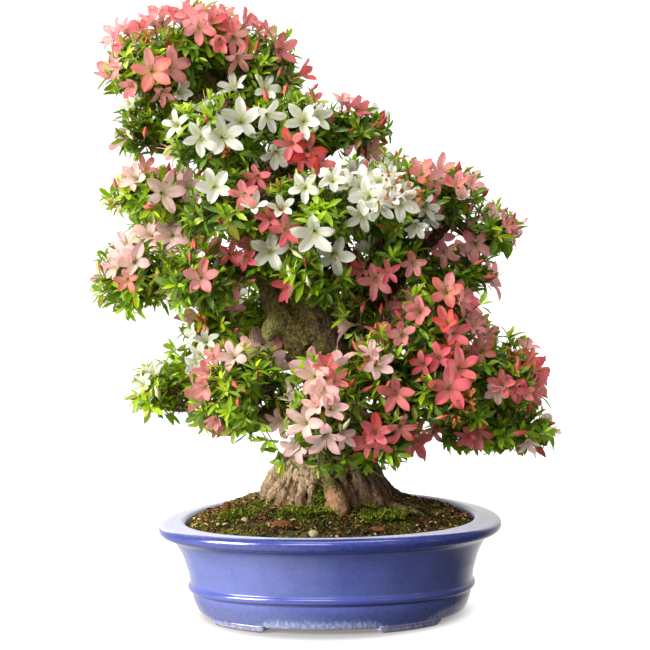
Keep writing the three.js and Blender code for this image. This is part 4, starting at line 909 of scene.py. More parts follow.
floor = bpy.data.meshes.new("floor")
pts, quads = [], []
profile = [(-6.0, 0.0), (1.4, 0.0)] + [(1.4 + 1.6 * math.sin(a), 1.6 - 1.6 * math.cos(a)) for a in np.linspace(0.12, math.pi / 2, 14)] + [(3.0, 7.0)]
for y, z in profile:
    pts += [(-7.0, y, z), (7.0, y, z)]
for i in range(len(profile) - 1):
    quads.append((2 * i, 2 * i + 1, 2 * i + 3, 2 * i + 2))
floor.from_pydata(pts, [], quads)
for p in floor.polygons:
    p.use_smooth = True
sweep = bpy.data.objects.new("floor", floor)
scene.collection.objects.link(sweep)
paper = Material("paper")
paper_noise = paper.noise(paper.node("TexCoord", 3), 40.0, 3.0, 0.5)
# The paper glows evenly, like a light table, so that shadows on it stay pale; near the pot's foot the glow is painted
# down, as a painted shadow under the pot.
paper_x, paper_y, _ = paper.split(paper.node("TexCoord", 3))
foot_shadow_reach = paper.vec("LENGTH", paper.merge(paper.math("DIVIDE", paper_x, (A - 58) * MM), paper.math("DIVIDE", paper_y, (B - 29) * MM)), out=1)
floor.materials.append(paper.finish(paper.mix(paper.map(paper_noise, 0.3, 0.7), (0.29, 0.29, 0.295), (0.31, 0.31, 0.31)), 0.8, Specular_IOR_Level=0.1,
                                    Emission_Color=(1.0, 1.0, 1.0), Emission_Strength=paper.map(foot_shadow_reach, 0.96, 1.24, 0.22, 0.975, True)))
# It doesn't throw its light back on the tree and pot: they're lit by the lamps and the room.
sweep.visible_diffuse = False
sweep.visible_glossy = False

# The same pale paper closes the room on the other sides. It takes no part in the light.
surround = bpy.data.meshes.new("surround")
turn = np.arange(96) / 96 * 2 * math.pi
rings = [(3.9, -0.004), (4.4, 0.05), (4.8, 0.3), (5.0, 0.8), (5.0, 5.0)]
surround.from_pydata([(r_ * math.cos(a), r_ * math.sin(a), z) for r_, z in rings for a in turn] + [(0, 0, -0.004)], [],
                     [(i * 96 + j, i * 96 + (j + 1) % 96, (i + 1) * 96 + (j + 1) % 96, (i + 1) * 96 + j) for i in range(len(rings) - 1) for j in range(96)] + [(480, (j + 1) % 96, j) for j in range(96)])
for p in surround.polygons:
    p.use_smooth = True
far_paper = Material("far_paper")
surround.materials.append(far_paper.finish(far_paper.mix(far_paper.map(far_paper.noise(far_paper.node("TexCoord", 3), 2.0, 3.0, 0.5), 0.3, 0.7), (0.29, 0.29, 0.295), (0.31, 0.31, 0.31)), 0.8, Specular_IOR_Level=0.1,
                                           Emission_Color=(1.0, 1.0, 1.0), Emission_Strength=0.96))
room = bpy.data.objects.new("surround", surround)
scene.collection.objects.link(room)
room.visible_diffuse = room.visible_glossy = room.visible_transmission = room.visible_shadow = False

# ------------------------------------------------------------------ pot


def oval(a, b, t):
    p = 2 / POWER
    c, s = np.cos(t), np.sin(t)
    return a * np.sign(c) * np.abs(c) ** p, b * np.sign(s) * np.abs(s) ** p


def catmull(points, per):
    """A smooth line through points, with per steps between each two, that doesn't swing past them much."""
    p = np.asarray(points, float)
    p = np.concatenate([[2 * p[0] - p[1]], p, [2 * p[-1] - p[-2]]])
    out = []
    for i in range(1, len(p) - 2):
        a, b, c, d = p[i - 1], p[i], p[i + 1], p[i + 2]
        d0, d1, d2 = (max(np.linalg.norm(y - x), 1e-6) ** 0.5 for x, y in ((a[:3], b[:3]), (b[:3], c[:3]), (c[:3], d[:3])))
        m1 = (c - b) + d1 * ((b - a) / d0 - (c - a) / (d0 + d1))
        m2 = (c - b) + d1 * ((d - c) / d2 - (d - b) / (d1 + d2))
        for k in range(per):
            t = k / per
            out.append((2 * t**3 - 3 * t**2 + 1) * b + (t**3 - 2 * t**2 + t) * m1 + (-2 * t**3 + 3 * t**2) * c + (t**3 - t**2) * m2)
    out.append(p[-2])
    return np.array(out)


def build_pot():
    wall = [
        (A - 44, B - 38, 6.5, 0), (A - 43, B - 37.2, 8.0, 0.4), (A - 41.4, B - 35.6, 12.5, 1.6), (A - 38.8, B - 33.3, 20, 3), (A - 37.0, B - 32.4, 28, 5), (A - 36.9, B - 32.5, 32.0, D),
        (A - 36.9, B - 32.4, 34.4, D), (A - 36.2, B - 31.8, 35.6, D), (A - 34.4, B - 30.2, 36.2, D), (A - 32.6, B - 28.6, 37.4, D), (A - 31.7, B - 27.8, 39.4, D),
        (A - 31.9, B - 27.9, 41.6, D), (A - 33.0, B - 28.8, 43.3, D), (A - 34.2, B - 29.9, 44.4, D), (A - 34.5, B - 30.1, 46.4, D), (A - 34.1, B - 29.6, 49.6, D), (A - 33.4, B - 28.9, 53.5, D), (A - 32.4, B - 28.0, 59, D), (A - 30.2, B - 26, 66, D), (A - 27.3, B - 23.3, 76, D), (A - 24.2, B - 20.4, 83, D), (A - 20.9, B - 17.3, 89, D),
        (A - 18.2, B - 14.7, 93.2, D), (A - 15.7, B - 12.2, 96.2, D), (A - 12.5, B - 9.6, 98.2, D), (A - 9, B - 6.6, 99.4, D), (A - 5.6, B - 4.1, 100.8, D),
        (A - 2.8, B - 2.2, 102.4, D), (A - 1.1, B - 1.1, 104.4, D), (A - 0.25, B - 0.3, 106.4, D), (A, B, 108.2, D), (A - 0.4, B - 0.4, 110.2, D), (A - 1.4, B - 1.4, 112.0, D),
        (A - 3.2, B - 2.9, 113.3, D), (A - 6, B - 4.6, 114.0, D), (A - 12, B - 7.0, 114.5, D - 0.7), (A - 20, B - 9.8, 115.1, D - 1.4), (A - 25.5, B - 11.6, 115.5, D - 2),
    ]
    inner = [
        (A - 28, B - 12.6, 115.3, D - 2), (A - 29.8, B - 13.8, 114.4, D - 2), (A - 31, B - 15, 113, D - 2), (A - 32.4, B - 16.4, 109.5, D - 2), (A - 34, B - 18, 105.5, D - 2),
        (A - 41, B - 28, 86, D - 2), (A - 45, B - 38, 45, 2), (A - 50, B - 44, 18, 0), (A - 55, B - 49, 15, 0),
    ]
    line = catmull(wall + inner, 2)
    n = 256
    t = (np.arange(n) + 0.5) / n * 2 * np.pi
    rings = []
    for a, b, z, drop in line:
        x, y = oval(a, b, t)
        rings.append(np.stack([x, y, z - drop * np.cos(t) ** 2], 1))
    rings = np.array(rings)
    # Slight hand-made waviness, which fades toward the foot.
    far = fbm(rings * (1, 1, 0.6), 90.0, 5, 2) * 0.35
    out = unit(rings * (1, 1, 0))
    grow = smooth(20, 60, rings[..., 2])
    rings = rings + out * (far * grow)[..., None]
    k = len(rings)
    verts = rings.reshape(-1, 3)
    i, j = np.meshgrid(np.arange(k - 1), np.arange(n), indexing="ij")
    a, b = i * n + j, i * n + (j + 1) % n
    quads = np.stack([a, b, b + n, a + n], -1).reshape(-1, 4)
    step = np.linalg.norm(np.diff(line[:, [0, 2]], axis=0), axis=1)
    edge = int(np.argmin(np.abs(line[: 2 * len(wall), 0] - (A - 25.5)) + 100 * (line[: 2 * len(wall), 2] < 115)))
    along = np.concatenate([[0], np.cumsum(step)])
    run = along[edge] - along  # positive on the outside
    run = np.repeat(run, n)
    # Bottom and inner floor with the two drain holes, and the holes' walls.
    bm = bmesh.new()
    extra_v, extra_f = [], []
    m = 28
    ha = np.arange(m) / m * 2 * np.pi
    holes = {}
    for z, ring, flip in ((6.5, rings[0], True), (FLOOR_Z, rings[-1], False)):
        bm = bmesh.new()
        edges = []
        loops = [ring] + [np.stack([side * DRAIN_OFFSET + DRAIN_RADIUS * np.cos(ha), DRAIN_RADIUS * np.sin(ha), np.full(m, z)], 1) for side in (-1, 1)]
        for loop in loops:
            vs = [bm.verts.new(p) for p in loop]
            edges += [bm.edges.new((vs[q], vs[(q + 1) % len(vs)])) for q in range(len(vs))]
        bmesh.ops.triangle_fill(bm, edges=edges, use_beauty=True, use_dissolve=False)
        bm.verts.index_update()
        start = len(verts) + sum(len(v) for v in extra_v)
        extra_v.append(np.array([v.co[:] for v in bm.verts]))
        faces = []
        for fc in bm.faces:
            ids = [v.index for v in fc.verts]
            up = fc.normal.z > 0
            if up == flip:
                ids.reverse()
            faces.append([start + q for q in ids])
        extra_f.append(np.array(faces))
        holes[z] = start
        bm.free()
    walls = []
    for s in (0, 1):
        lo, hi = holes[6.5] + n + s * m, holes[FLOOR_Z] + n + s * m
        for q in range(m):
            walls.append((lo + (q + 1) % m, lo + q, hi + q, hi + (q + 1) % m))
    # Feet: curved bars under the wall with eased ends.
    foot_v, foot_f = [], []
    base = len(verts) + sum(len(v) for v in extra_v)
    for sx, sy in ((1, -1), (-1, -1), (1, 1), (-1, 1)):
        steps = 26
        ring_pts = []
        for q in range(steps + 1):
            e = q / steps
            tt = math.radians(90 - FOOT_FROM - (FOOT_TO - FOOT_FROM) * e)
            ox, oy = oval(A - 43, B - 37, np.array([tt]))
            ox, oy = float(ox[0]), float(oy[0])
            ln = math.hypot(ox, oy)
            nx, ny = ox / ln, oy / ln
            ease = min(1.0, min(e, 1 - e) / 0.09)
            ease = math.sin(ease * math.pi / 2)
            lowz = 0.0 + (1 - ease) * 3.4
            # section: outside top, outside, low outside, low inside, inside, inside top
            section = [(1.2, 8.5), (0.3, 5.6), (-0.7, 2.2), (-1.6, 0.6), (-2.6, 0.0), (-FOOT_WIDTH + 2.4, 0.0), (-FOOT_WIDTH + 1.2, 0.7), (-FOOT_WIDTH + 0.4, 3.0), (-FOOT_WIDTH, 6.0), (-FOOT_WIDTH, 8.5)]
            pts_ = []
            for off, z in section:
                zz = lowz + z * (FOOT_HEIGHT + 2 - lowz) / 8.5 if z < 8.5 else FOOT_HEIGHT + 2
                rr = ln + off * (0.88 + 0.12 * ease) if off < 0 else ln + off - (1 - ease) * 0.4
                pts_.append((sx * nx * rr, sy * ny * rr, zz))
            ring_pts.append(pts_)
        w = len(ring_pts[0])
        foot_v.append(np.array(ring_pts).reshape(-1, 3))
        for q in range(steps):
            for c in range(w):
                a0, b0 = base + q * w + c, base + q * w + (c + 1) % w
                fc = (a0, b0, b0 + w, a0 + w)
                foot_f.append(fc if sx * sy > 0 else fc[::-1])
        # Ends as fans.
        for end in (0, steps):
            mid = np.array(ring_pts[end]).mean(0)
            foot_v.append(mid[None])
            centre = base + (steps + 1) * w + (0 if end == 0 else 1)
            for c in range(w):
                a0, b0 = base + end * w + c, base + end * w + (c + 1) % w
                fc = (a0, centre, b0) if (end == 0) == (sx * sy > 0) else (b0, centre, a0)
                foot_f.append(fc)
        base += (steps + 1) * w + 2
    allv = np.concatenate([verts] + extra_v + foot_v)
    tri = [f_ for f_ in foot_f if len(f_) == 3]
    quad = [f_ for f_ in foot_f if len(f_) == 4]
    run_all = np.concatenate([run, np.full(len(allv) - len(verts), 200.0)])
    # Everything inside the inner wall counts as far below the rim's inner edge.
    ob = make_mesh("pot_body", allv, [quads, np.array(walls), np.array(quad), np.concatenate(extra_f), np.array(tri)],
                   materials=[glaze_material()], attributes={"run": run_all, "lift": allv[:, 2] + np.where(np.abs(run_all) < 190, 6.0 * (allv[:, 0] / 165.0) ** 2 * smooth(12, 40, allv[:, 2]), 0)})
    return ob


pot = build_pot()
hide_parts("pot")
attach(pot, "root")

plastic, wire = plastic_material(), wire_material()
for word in ("left", "right"):
    for name, material in ((f"drain_mesh_{word}", plastic), (f"mesh_staple_{word}", wire)):
        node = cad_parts[name]
        node.data.materials.clear()
        node.data.materials.append(material)

# ------------------------------------------------------------------ trunk and limbs

rng = np.random.default_rng(7)


def loft(points, sides, per, lobes=None):
    """Rings along a tapered limb, as verts, quads and two end fans."""
    line = catmull(points, per)
    c, rad = line[:, :3], line[:, 3]
    tan = unit(np.gradient(c, axis=0))
    u_ = np.array([1.0, 0, 0]) if abs(tan[0, 0]) < 0.8 else np.array([0, 1.0, 0])
    ring = []
    a = np.arange(sides) / sides * 2 * np.pi
    for i in range(len(c)):
        u_ = unit(u_ - u_ @ tan[i] * tan[i])
        v_ = np.cross(tan[i], u_)
        k = lobes(a, i / (len(c) - 1)) if lobes else 1.0
        ring.append(c[i] + rad[i] * (k * np.cos(a))[:, None] * u_ + rad[i] * (k * np.sin(a))[:, None] * v_)
    ring = np.array(ring)
    n = len(ring)
    verts = np.concatenate([ring.reshape(-1, 3), [c[0]], [c[-1] + tan[-1] * rad[-1] * 0.5]])
    quads, tris = [], []
    for i in range(n - 1):
        for j in range(sides):
            a0, b0 = i * sides + j, i * sides + (j + 1) % sides
            quads.append((a0, b0, b0 + sides, a0 + sides))
    for j in range(sides):
        tris.append((n * sides, (j + 1) % sides, j))
        tris.append((n * sides + 1, (n - 1) * sides + j, (n - 1) * sides + (j + 1) % sides))
    return verts, np.array(quads), np.array(tris)


def fluting(a, s):
    return 1 + (1 - s) ** 1.5 * (0.10 * np.cos(5 * a + 0.6) + 0.05 * np.cos(9 * a + 2))


# Strands of root wood that stand out of the flare, and thin roots that run off under the moss.
STRANDS = [
    [(-38, -4, 188, 9), (-50, -8, 174, 10), (-62, -11, 160, 10.5), (-68, -13, 148, 9), (-72, -14, 136, 6), (-77, -15, 120, 4)],
    [(-34, -16, 184, 6.5), (-42, -24, 171, 7), (-49, -30, 159, 5.5), (-56, -34, 148, 6.5), (-62, -36, 137, 6), (-66, -37, 122, 4)],
    [(-29, -28, 184, 6), (-35, -36, 170, 6.5), (-39, -42, 157, 5), (-45, -47, 145, 6.5), (-52, -51, 135, 6.2), (-60, -55, 126, 4.5), (-68, -57, 118, 2.5)],
    [(-24, -36, 182, 5.5), (-29, -45, 167, 6), (-33, -50, 154, 5), (-36, -54, 143, 5.4), (-39, -57, 131, 4.4), (-42, -59, 120, 3)],
    [(-17, -41, 178, 6.2), (-20, -50, 164, 5.8), (-25, -57, 151, 5.2), (-27, -62, 141, 4.6), (-26, -65, 131, 3.4), (-26, -67, 122, 2.4)],
    [(-8, -43, 180, 5.5), (-9, -51, 166, 5.2), (-11, -56, 155, 4.6), (-13, -59, 146, 3.4), (-15, -61, 137, 2.4)],
    [(4, -42, 188, 9), (5, -46, 175, 9), (4, -49, 164, 7.5), (0, -51, 155, 5)],
    [(5, -50, 166, 6), (9, -58, 160, 8), (14, -67, 152, 9.5), (19, -75, 143, 9.8), (23, -80, 134, 8.2), (25, -82, 127, 5)],
    [(18, -40, 182, 8), (22, -47, 168, 8.5), (27, -53, 154, 7), (32, -57, 143, 6.5), (36, -60, 132, 4.5), (38, -62, 120, 3)],
    [(26, -32, 184, 9.5), (33, -40, 169, 10.5), (42, -47, 154, 9.5), (47, -50, 142, 9), (50, -53, 131, 6.5), (52, -55, 118, 4)],
    [(32, -18, 184, 10), (40, -24, 170, 11), (50, -30, 155, 9.5), (60, -36, 143, 8.5), (66, -40, 131, 6), (70, -42, 118, 4)],
    [(36, -2, 182, 11), (46, -7, 167, 11.5), (57, -12, 151, 10), (66, -16, 138, 8.5), (74, -20, 126, 6), (84, -24, 117, 3.5)],
    [(44, -36, 166, 5), (54, -44, 152, 5), (60, -50, 141, 5.5), (66, -55, 131, 4.5), (76, -60, 125, 3)],
    [(30, 9, 204, 7), (37, 14, 186, 11), (44, 19, 166, 12), (55, 25, 150, 10.1), (68, 31, 136, 7), (86, 38, 126, 4.5), (98, 40, 118, 2.5)],
    [(26, 19, 200, 7), (33, 28, 182, 10), (39, 37, 164, 10), (47, 47, 148, 8.6), (55, 59, 135, 6.5), (64, 72, 125, 4), (68, 80, 118, 2.5)],
    [(18, 28, 206, 7), (21, 37, 186, 11), (25, 46, 165, 11.5), (31, 56, 148, 9.1), (40, 68, 134, 6), (54, 82, 124, 3.5)],
    [(5, 33, 200, 7), (6, 41, 182, 10), (7, 49, 164, 10), (5, 58, 148, 8.6), (2, 68, 135, 6.5), (-4, 82, 125, 4), (-12, 92, 118, 2.5)],
    [(-7, 33, 206, 7), (-11, 42, 186, 10.5), (-14, 50, 165, 11), (-20, 60, 148, 8.6), (-27, 70, 134, 5.5), (-30, 80, 124, 3.5)],
    [(-18, 28, 200, 7), (-24, 37, 182, 10), (-30, 44, 164, 10.5), (-38, 52, 148, 9.1), (-48, 61, 135, 6.5), (-62, 70, 125, 4), (-74, 72, 118, 2.5)],
    [(-26, 19, 206, 7), (-35, 26, 186, 10.5), (-43, 30, 165, 11), (-52, 36, 149, 9.1), (-63, 44, 135, 6), (-76, 50, 125, 3.5)],
    [(-32, 5, 202, 7), (-40, 9, 184, 11), (-49, 12, 165, 11.5), (-58, 18, 149, 9.6), (-68, 25, 135, 6.5), (-84, 30, 125, 4), (-98, 32, 118, 2.5)],
    [(62, -36, 137, 4), (76, -44, 132, 3.4), (90, -50, 129, 2.8), (106, -52, 125, 2.2), (120, -50, 118, 1.4)],
    [(72, -18, 136, 4), (92, -24, 130.5, 3.2), (112, -30, 126, 2.4), (138, -28, 121, 1.6)],
    [(-74, 28, 133, 4), (-96, 34, 128, 3), (-114, 32, 124, 2.2), (-130, 34, 119, 1.6)],
    [(46, 70, 131, 4), (62, 84, 126, 3), (80, 90, 121, 2.2), (94, 94, 116, 1.6)],
]
# A swelling where an old limb was cut, on the left of the trunk.
SWELLINGS = [[(-44, -14, 340, 10), (-53, -19, 338, 13), (-59, -23, 331, 10), (-61, -25, 322, 6)], [(-28, -12, 300, 9), (-38, -22, 296, 9)], [(22, -18, 250, 10), (30, -26, 246, 9)]]


def build_trunk():
    verts, quads, tris, n = [], [], [], 0
    core = [(x, y, z, r_ * (0.64 if z < 150 else 0.74 if z < 175 else 0.90 if z < 200 else 1.0)) for x, y, z, r_ in TRUNK]
    deep = [[(x * (0.80 if x > 0 else 0.86), y, z - 3, r_ * 0.66) for x, y, z, r_ in p] for p in ROOTS]
    for i, pts_ in enumerate([core] + deep + STRANDS + SWELLINGS + LIMBS):
        v, q, t_ = loft(pts_, 30 if i == 0 else 14, 6, fluting if i == 0 else None)
        verts.append(v)
        quads.append(q + n)
        tris.append(t_ + n)
        n += len(v)
    raw = make_mesh("trunk_raw", np.concatenate(verts), [np.concatenate(quads), np.concatenate(tris)])
    mod = raw.modifiers.new("skin", "REMESH")
    mod.mode = "VOXEL"
    mod.voxel_size = 0.0021
    mod.use_smooth_shade = True
    dg = bpy.context.evaluated_depsgraph_get()
    me = bpy.data.meshes.new_from_object(raw.evaluated_get(dg))
    bpy.data.objects.remove(raw)
    ob = bpy.data.objects.new("trunk_and_limbs", me)
    scene.collection.objects.link(ob)
    bm = bmesh.new()
    bm.from_mesh(me)
    for _ in range(2):
        bmesh.ops.smooth_vert(bm, verts=bm.verts, factor=0.5, use_axis_x=True, use_axis_y=True, use_axis_z=True)
    bm.normal_update()
    co = np.array([v.co[:] for v in bm.verts]) / MM
    no = np.array([v.normal[:] for v in bm.verts])
    low = smooth(215, 150, co[:, 2])
    ang = np.arctan2(co[:, 1] - 3, co[:, 0])
    rad = np.hypot(co[:, 0], co[:, 1])
    # Wrinkles that run down the flare and out along the roots, then knots and fine bark.
    wrinkle_at = np.stack([np.cos(ang) * 55, np.sin(ang) * 55, (co[:, 2] + rad * 0.5) * 0.16], 1)
    wrinkles = 1 - 2.2 * np.abs(fbm(wrinkle_at, 8.0, 3, 3))
    knots = fbm(co, 24.0, 11, 3)
    bark = 1 - 2 * np.abs(fbm(co * (1, 1, 0.4), 8.0, 21, 3))
    fine = fbm(co, 4.0, 31, 2)
    thick = np.clip(np.interp(co[:, 2], [118, 200, 340, 500, 650], [1.0, 1.0, 0.8, 0.45, 0.3]), 0, 1)
    disp = low * (wrinkles - 0.45) * 2.5 + knots * 2.6 * thick + (bark - 0.4) * 1.6 * thick * (1 - 0.35 * low) + fine * 0.9 * thick
    # The skin under the soil stays plain.
    disp *= smooth(117, 126, co[:, 2])
    co = co + no * disp[:, None]
    for v, p in zip(bm.verts, co * MM):
        v.co = p
    bm.to_mesh(me)
    bm.free()
    # How far each point lies below the mean of the skin around it. The bark's colour uses it for painted shade in the
    # hollows and painted light on the ridges.
    edge = np.zeros(len(me.edges) * 2, np.int64)
    me.edges.foreach_get("vertices", edge)
    e0, e1 = edge.reshape(-1, 2).T
    number = np.bincount(e0, minlength=len(co)) + np.bincount(e1, minlength=len(co))
    mean, near_mean = co.copy(), None
    for turn in range(26):
        mean = np.stack([(np.bincount(e0, mean[e1, q], len(co)) + np.bincount(e1, mean[e0, q], len(co))) / number for q in range(3)], 1)
        near_mean = mean if turn == 4 else near_mean
    below = ((mean - co) * no).sum(1) * 0.55 + ((near_mean - co) * no).sum(1) * 1.3
    hollow = np.clip(0.42 + below * 0.34, 0, 1)
    a_ = me.attributes.new("hollow", "FLOAT", "POINT")
    a_.data.foreach_set("value", hollow.astype(np.float32))
    for p in me.polygons:
        p.use_smooth = True
    slim = ob.modifiers.new("slim", "DECIMATE")
    slim.ratio = 0.62
    dg = bpy.context.evaluated_depsgraph_get()
    lean = bpy.data.meshes.new_from_object(ob.evaluated_get(dg))
    ob.modifiers.clear()
    ob.data = lean
    bpy.data.meshes.remove(me)
    lean.materials.clear()
    lean.materials.append(bark_material())
    return ob


trunk = build_trunk()
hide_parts("trunk")
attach(trunk, "root")

# ------------------------------------------------------------------ soil, moss and loose bits

SOIL_RINGS = [(A - 37, B - 21, H - 3, D - 1), (A - 54, B - 34, H + 2.5, D - 2), (A - 78, B - 56, H + 7, 3), (A - 104, B - 80, SOIL_CROWN - 3.5, 1), (A - 130, B - 104, SOIL_CROWN, 0), (A - 168, B - 128, SOIL_CROWN + 1.5, 0)]


def soil_height(x, y):
    """The soil's smooth surface, with the low mound of moss round the trunk's foot."""
    x, y = np.asarray(x, float), np.asarray(y, float)
    mound = smooth(112, 66, np.hypot(x, (y - 2) * 1.12)) * 5.0
    return mound + soil_bowl(x, y)


def soil_bowl(x, y):
    c2 = x * x / (x * x + y * y * (A / B) ** 2 + 1e-9)
    out = np.full(np.broadcast(x, y).shape, SOIL_CROWN + 1.5)
    for o, i in zip(SOIL_RINGS[:-1], SOIL_RINGS[1:]):
        qo, qi = np.hypot(x / o[0], y / o[1]), np.hypot(x / i[0], y / i[1])
        k = (1 - qo) / ((1 - qo) + (qi - 1) + 1e-9)
        z = (o[2] - o[3] * c2) * (1 - k) + (i[2] - i[3] * c2) * k
        out = np.where((qo <= 1) & (qi >= 1), z, out)
    first = SOIL_RINGS[0]
    return np.where(np.hypot(x / first[0], y / first[1]) > 1, first[2] - first[3] * c2, out)


def soil_skin(x, y):
    """The soil's surface with its lumps."""
    p = np.stack([x, y, np.zeros_like(x)], -1)
    heap = smooth(118, 74, np.hypot(x, (y - 2) * 1.12)) * fbm(p, 17.0, 53, 2) * 4.0
    return soil_height(x, y) + heap + fbm(p, 46.0, 41, 3) * 2.2 + (1 - 2 * np.abs(fbm(p, 9.0, 43, 2))) * 1.1 + fbm(p, 3.4, 47, 2) * 1.1


def build_soil():
    n, k = 216, 66
    t = np.arange(n) / n * 2 * np.pi
    s = np.concatenate([np.linspace(0.02, 0.90, k - 26), np.linspace(0.905, 1.0, 26)])
    x0, y0 = oval(A - 33.2, B - 17.2, t)
    x, y = s[:, None] * x0, s[:, None] * y0
    z = soil_skin(x, y)
    edge = smooth(0.955, 1.0, s)[:, None]
    z = z - 4.5 * edge
    top = np.stack([x, y, z], -1)
    # A skirt down inside the pot closes the piece, and a floor.
    skirt = []
    for a, b, zz, drop in ((A - 34.6, B - 18.6, H - 12, D - 2), (A - 41.5, B - 28.5, 86, D - 2), (A - 45.6, B - 38.6, 45, 2), (A - 56, B - 50, FLOOR_Z + 3, 0)):
        sx, sy = oval(a, b, t)
        skirt.append(np.stack([sx, sy, zz - drop * np.cos(t) ** 2], -1))
    rings = np.concatenate([top, skirt])
    verts = rings.reshape(-1, 3)
    m = len(rings)
    i, j = np.meshgrid(np.arange(m - 1), np.arange(n), indexing="ij")
    a_, b_ = i * n + j, i * n + (j + 1) % n
    quads = np.stack([a_, a_ + n, b_ + n, b_], -1).reshape(-1, 4)
    low = (FLOOR_Z + 3.0)
    verts = np.concatenate([verts, [[0, 0, float(soil_skin(np.array([0.0]), np.array([0.0]))[0])], [0, 0, low]]])
    tris = [(len(verts) - 2, q, (q + 1) % n) for q in range(n)] + [(len(verts) - 1, (m - 1) * n + (q + 1) % n, (m - 1) * n + q) for q in range(n)]
    return make_mesh("soil_bed", verts, [quads, np.array(tris)], materials=[soil_material()])


soil = build_soil()
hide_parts("soil")
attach(soil, "root")

GRAIN_STOPS = [(0.0, srgb(18, 12, 7)), (0.40, srgb(40, 26, 14)), (0.62, srgb(64, 42, 20)), (0.78, srgb(98, 62, 30)), (0.92, srgb(146, 106, 58)), (0.975, srgb(182, 158, 108))]


def icosphere(detail):
    bm = bmesh.new()
    bmesh.ops.create_icosphere(bm, subdivisions=detail, radius=1.0)
    v = np.array([x.co[:] for x in bm.verts])
    bm.verts.index_update()
    f_ = np.array([[q.index for q in x.verts] for x in bm.faces])
    bm.free()
    return v, f_


def random_turns(count, gen):
    q = unit(gen.normal(size=(count, 4)))
    w, x, y, z = q.T
    return np.stack([
        np.stack([1 - 2 * (y * y + z * z), 2 * (x * y - z * w), 2 * (x * z + y * w)], -1),
        np.stack([2 * (x * y + z * w), 1 - 2 * (x * x + z * z), 2 * (y * z - x * w)], -1),
        np.stack([2 * (x * z - y * w), 2 * (y * z + x * w), 1 - 2 * (x * x + y * y)], -1)], 1)


def oval_spots(count, gen, edge=0.99):
    """Points spread evenly over the soil's oval, outside the trunk's flare."""
    a = gen.uniform(0, 2 * np.pi, count * 2)
    s = np.sqrt(gen.uniform(0, 1, count * 2)) * edge
    x, y = oval(A - 35.5, B - 19.5, a)
    x, y = x * s, y * s
    keep = np.hypot(x / 62, (y - 2) / 56) > 1
    return x[keep][:count], y[keep][:count]


def build_grains():
    gen = np.random.default_rng(101)
    v, f_ = icosphere(1)
    batch = Batch()
    count = 3000
    x, y = oval_spots(count, gen)
    count = len(x)
    size = np.exp(gen.normal(0.12, 0.42, count)).clip(0.5, 3.2)
    stretch = gen.uniform(0.55, 1.25, (count, 3))
    turn = random_turns(count, gen)
    lump = 1 + 0.16 * gen.normal(size=(count, len(v)))
    local = v[None] * stretch[:, None] * lump[..., None] * size[:, None, None]
    local = np.einsum("kij,kpj->kpi", turn, local)
    z = soil_skin(x, y) + size * gen.uniform(0.0, 0.45, count)
    world_ = local + np.stack([x, y, z], -1)[:, None]
    uv = np.broadcast_to(0.5 + 0.44 * v[None, :, :2], (count, len(v), 2))
    tile = tiles(gen.integers(0, 64, count), 8)
    uv = tile[:, None, :2] + uv * tile[:, None, 2:]
    batch.add(world_, f_, uv)
    # Thin flakes of bark, lying about.
    count = 860
    x, y = oval_spots(count, gen)
    count = len(x)
    box = np.array([(-1, -1, 0), (1, -1, 0), (1.1, 0.9, 0), (-0.8, 1.1, 0), (-0.9, -0.9, 1), (0.85, -0.8, 1), (0.95, 0.8, 1), (-0.7, 0.95, 1)], float)
    faces = np.array([(0, 3, 2, 1), (4, 5, 6, 7), (0, 1, 5, 4), (1, 2, 6, 5), (2, 3, 7, 6), (3, 0, 4, 7)])
    length, width = gen.uniform(1.4, 4.8, count), gen.uniform(0.4, 1.5, count)
    local = box[None] * np.stack([length, width, gen.uniform(0.4, 1.0, count)], -1)[:, None]
    local = local + gen.normal(0, 0.14, local.shape) * width[:, None, None]
    yaw = gen.uniform(0, 2 * np.pi, count)
    tilt = gen.normal(0, 0.35, count)
    c, s_, ct, st = np.cos(yaw), np.sin(yaw), np.cos(tilt), np.sin(tilt)
    X = local[..., 0] * ct[:, None] - local[..., 2] * st[:, None]
    Z = local[..., 0] * st[:, None] + local[..., 2] * ct[:, None]
    Y = local[..., 1]
    world_ = np.stack([X * c[:, None] - Y * s_[:, None] + x[:, None], X * s_[:, None] + Y * c[:, None] + y[:, None], Z + (soil_skin(x, y) + 0.7)[:, None]], -1)
    uv = np.broadcast_to(0.5 + 0.42 * box[None, :, :2] / 1.1, (count, 8, 2))
    tile = tiles(gen.integers(0, 64, count), 8)
    uv = tile[:, None, :2] + uv * tile[:, None, 2:]
    batch.add(world_, faces, uv, 1)
    chips = grain_material("soil_flake", [(0.0, srgb(58, 32, 18)), (0.25, srgb(110, 60, 32)), (0.46, srgb(148, 86, 44)), (0.64, srgb(172, 122, 70)), (0.76, srgb(94, 50, 28)), (0.92, srgb(206, 182, 130))], 0.8)
    return batch.object("soil_grains", [grain_material("soil_grain", GRAIN_STOPS), chips])


grains = build_grains()
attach(grains, "root")


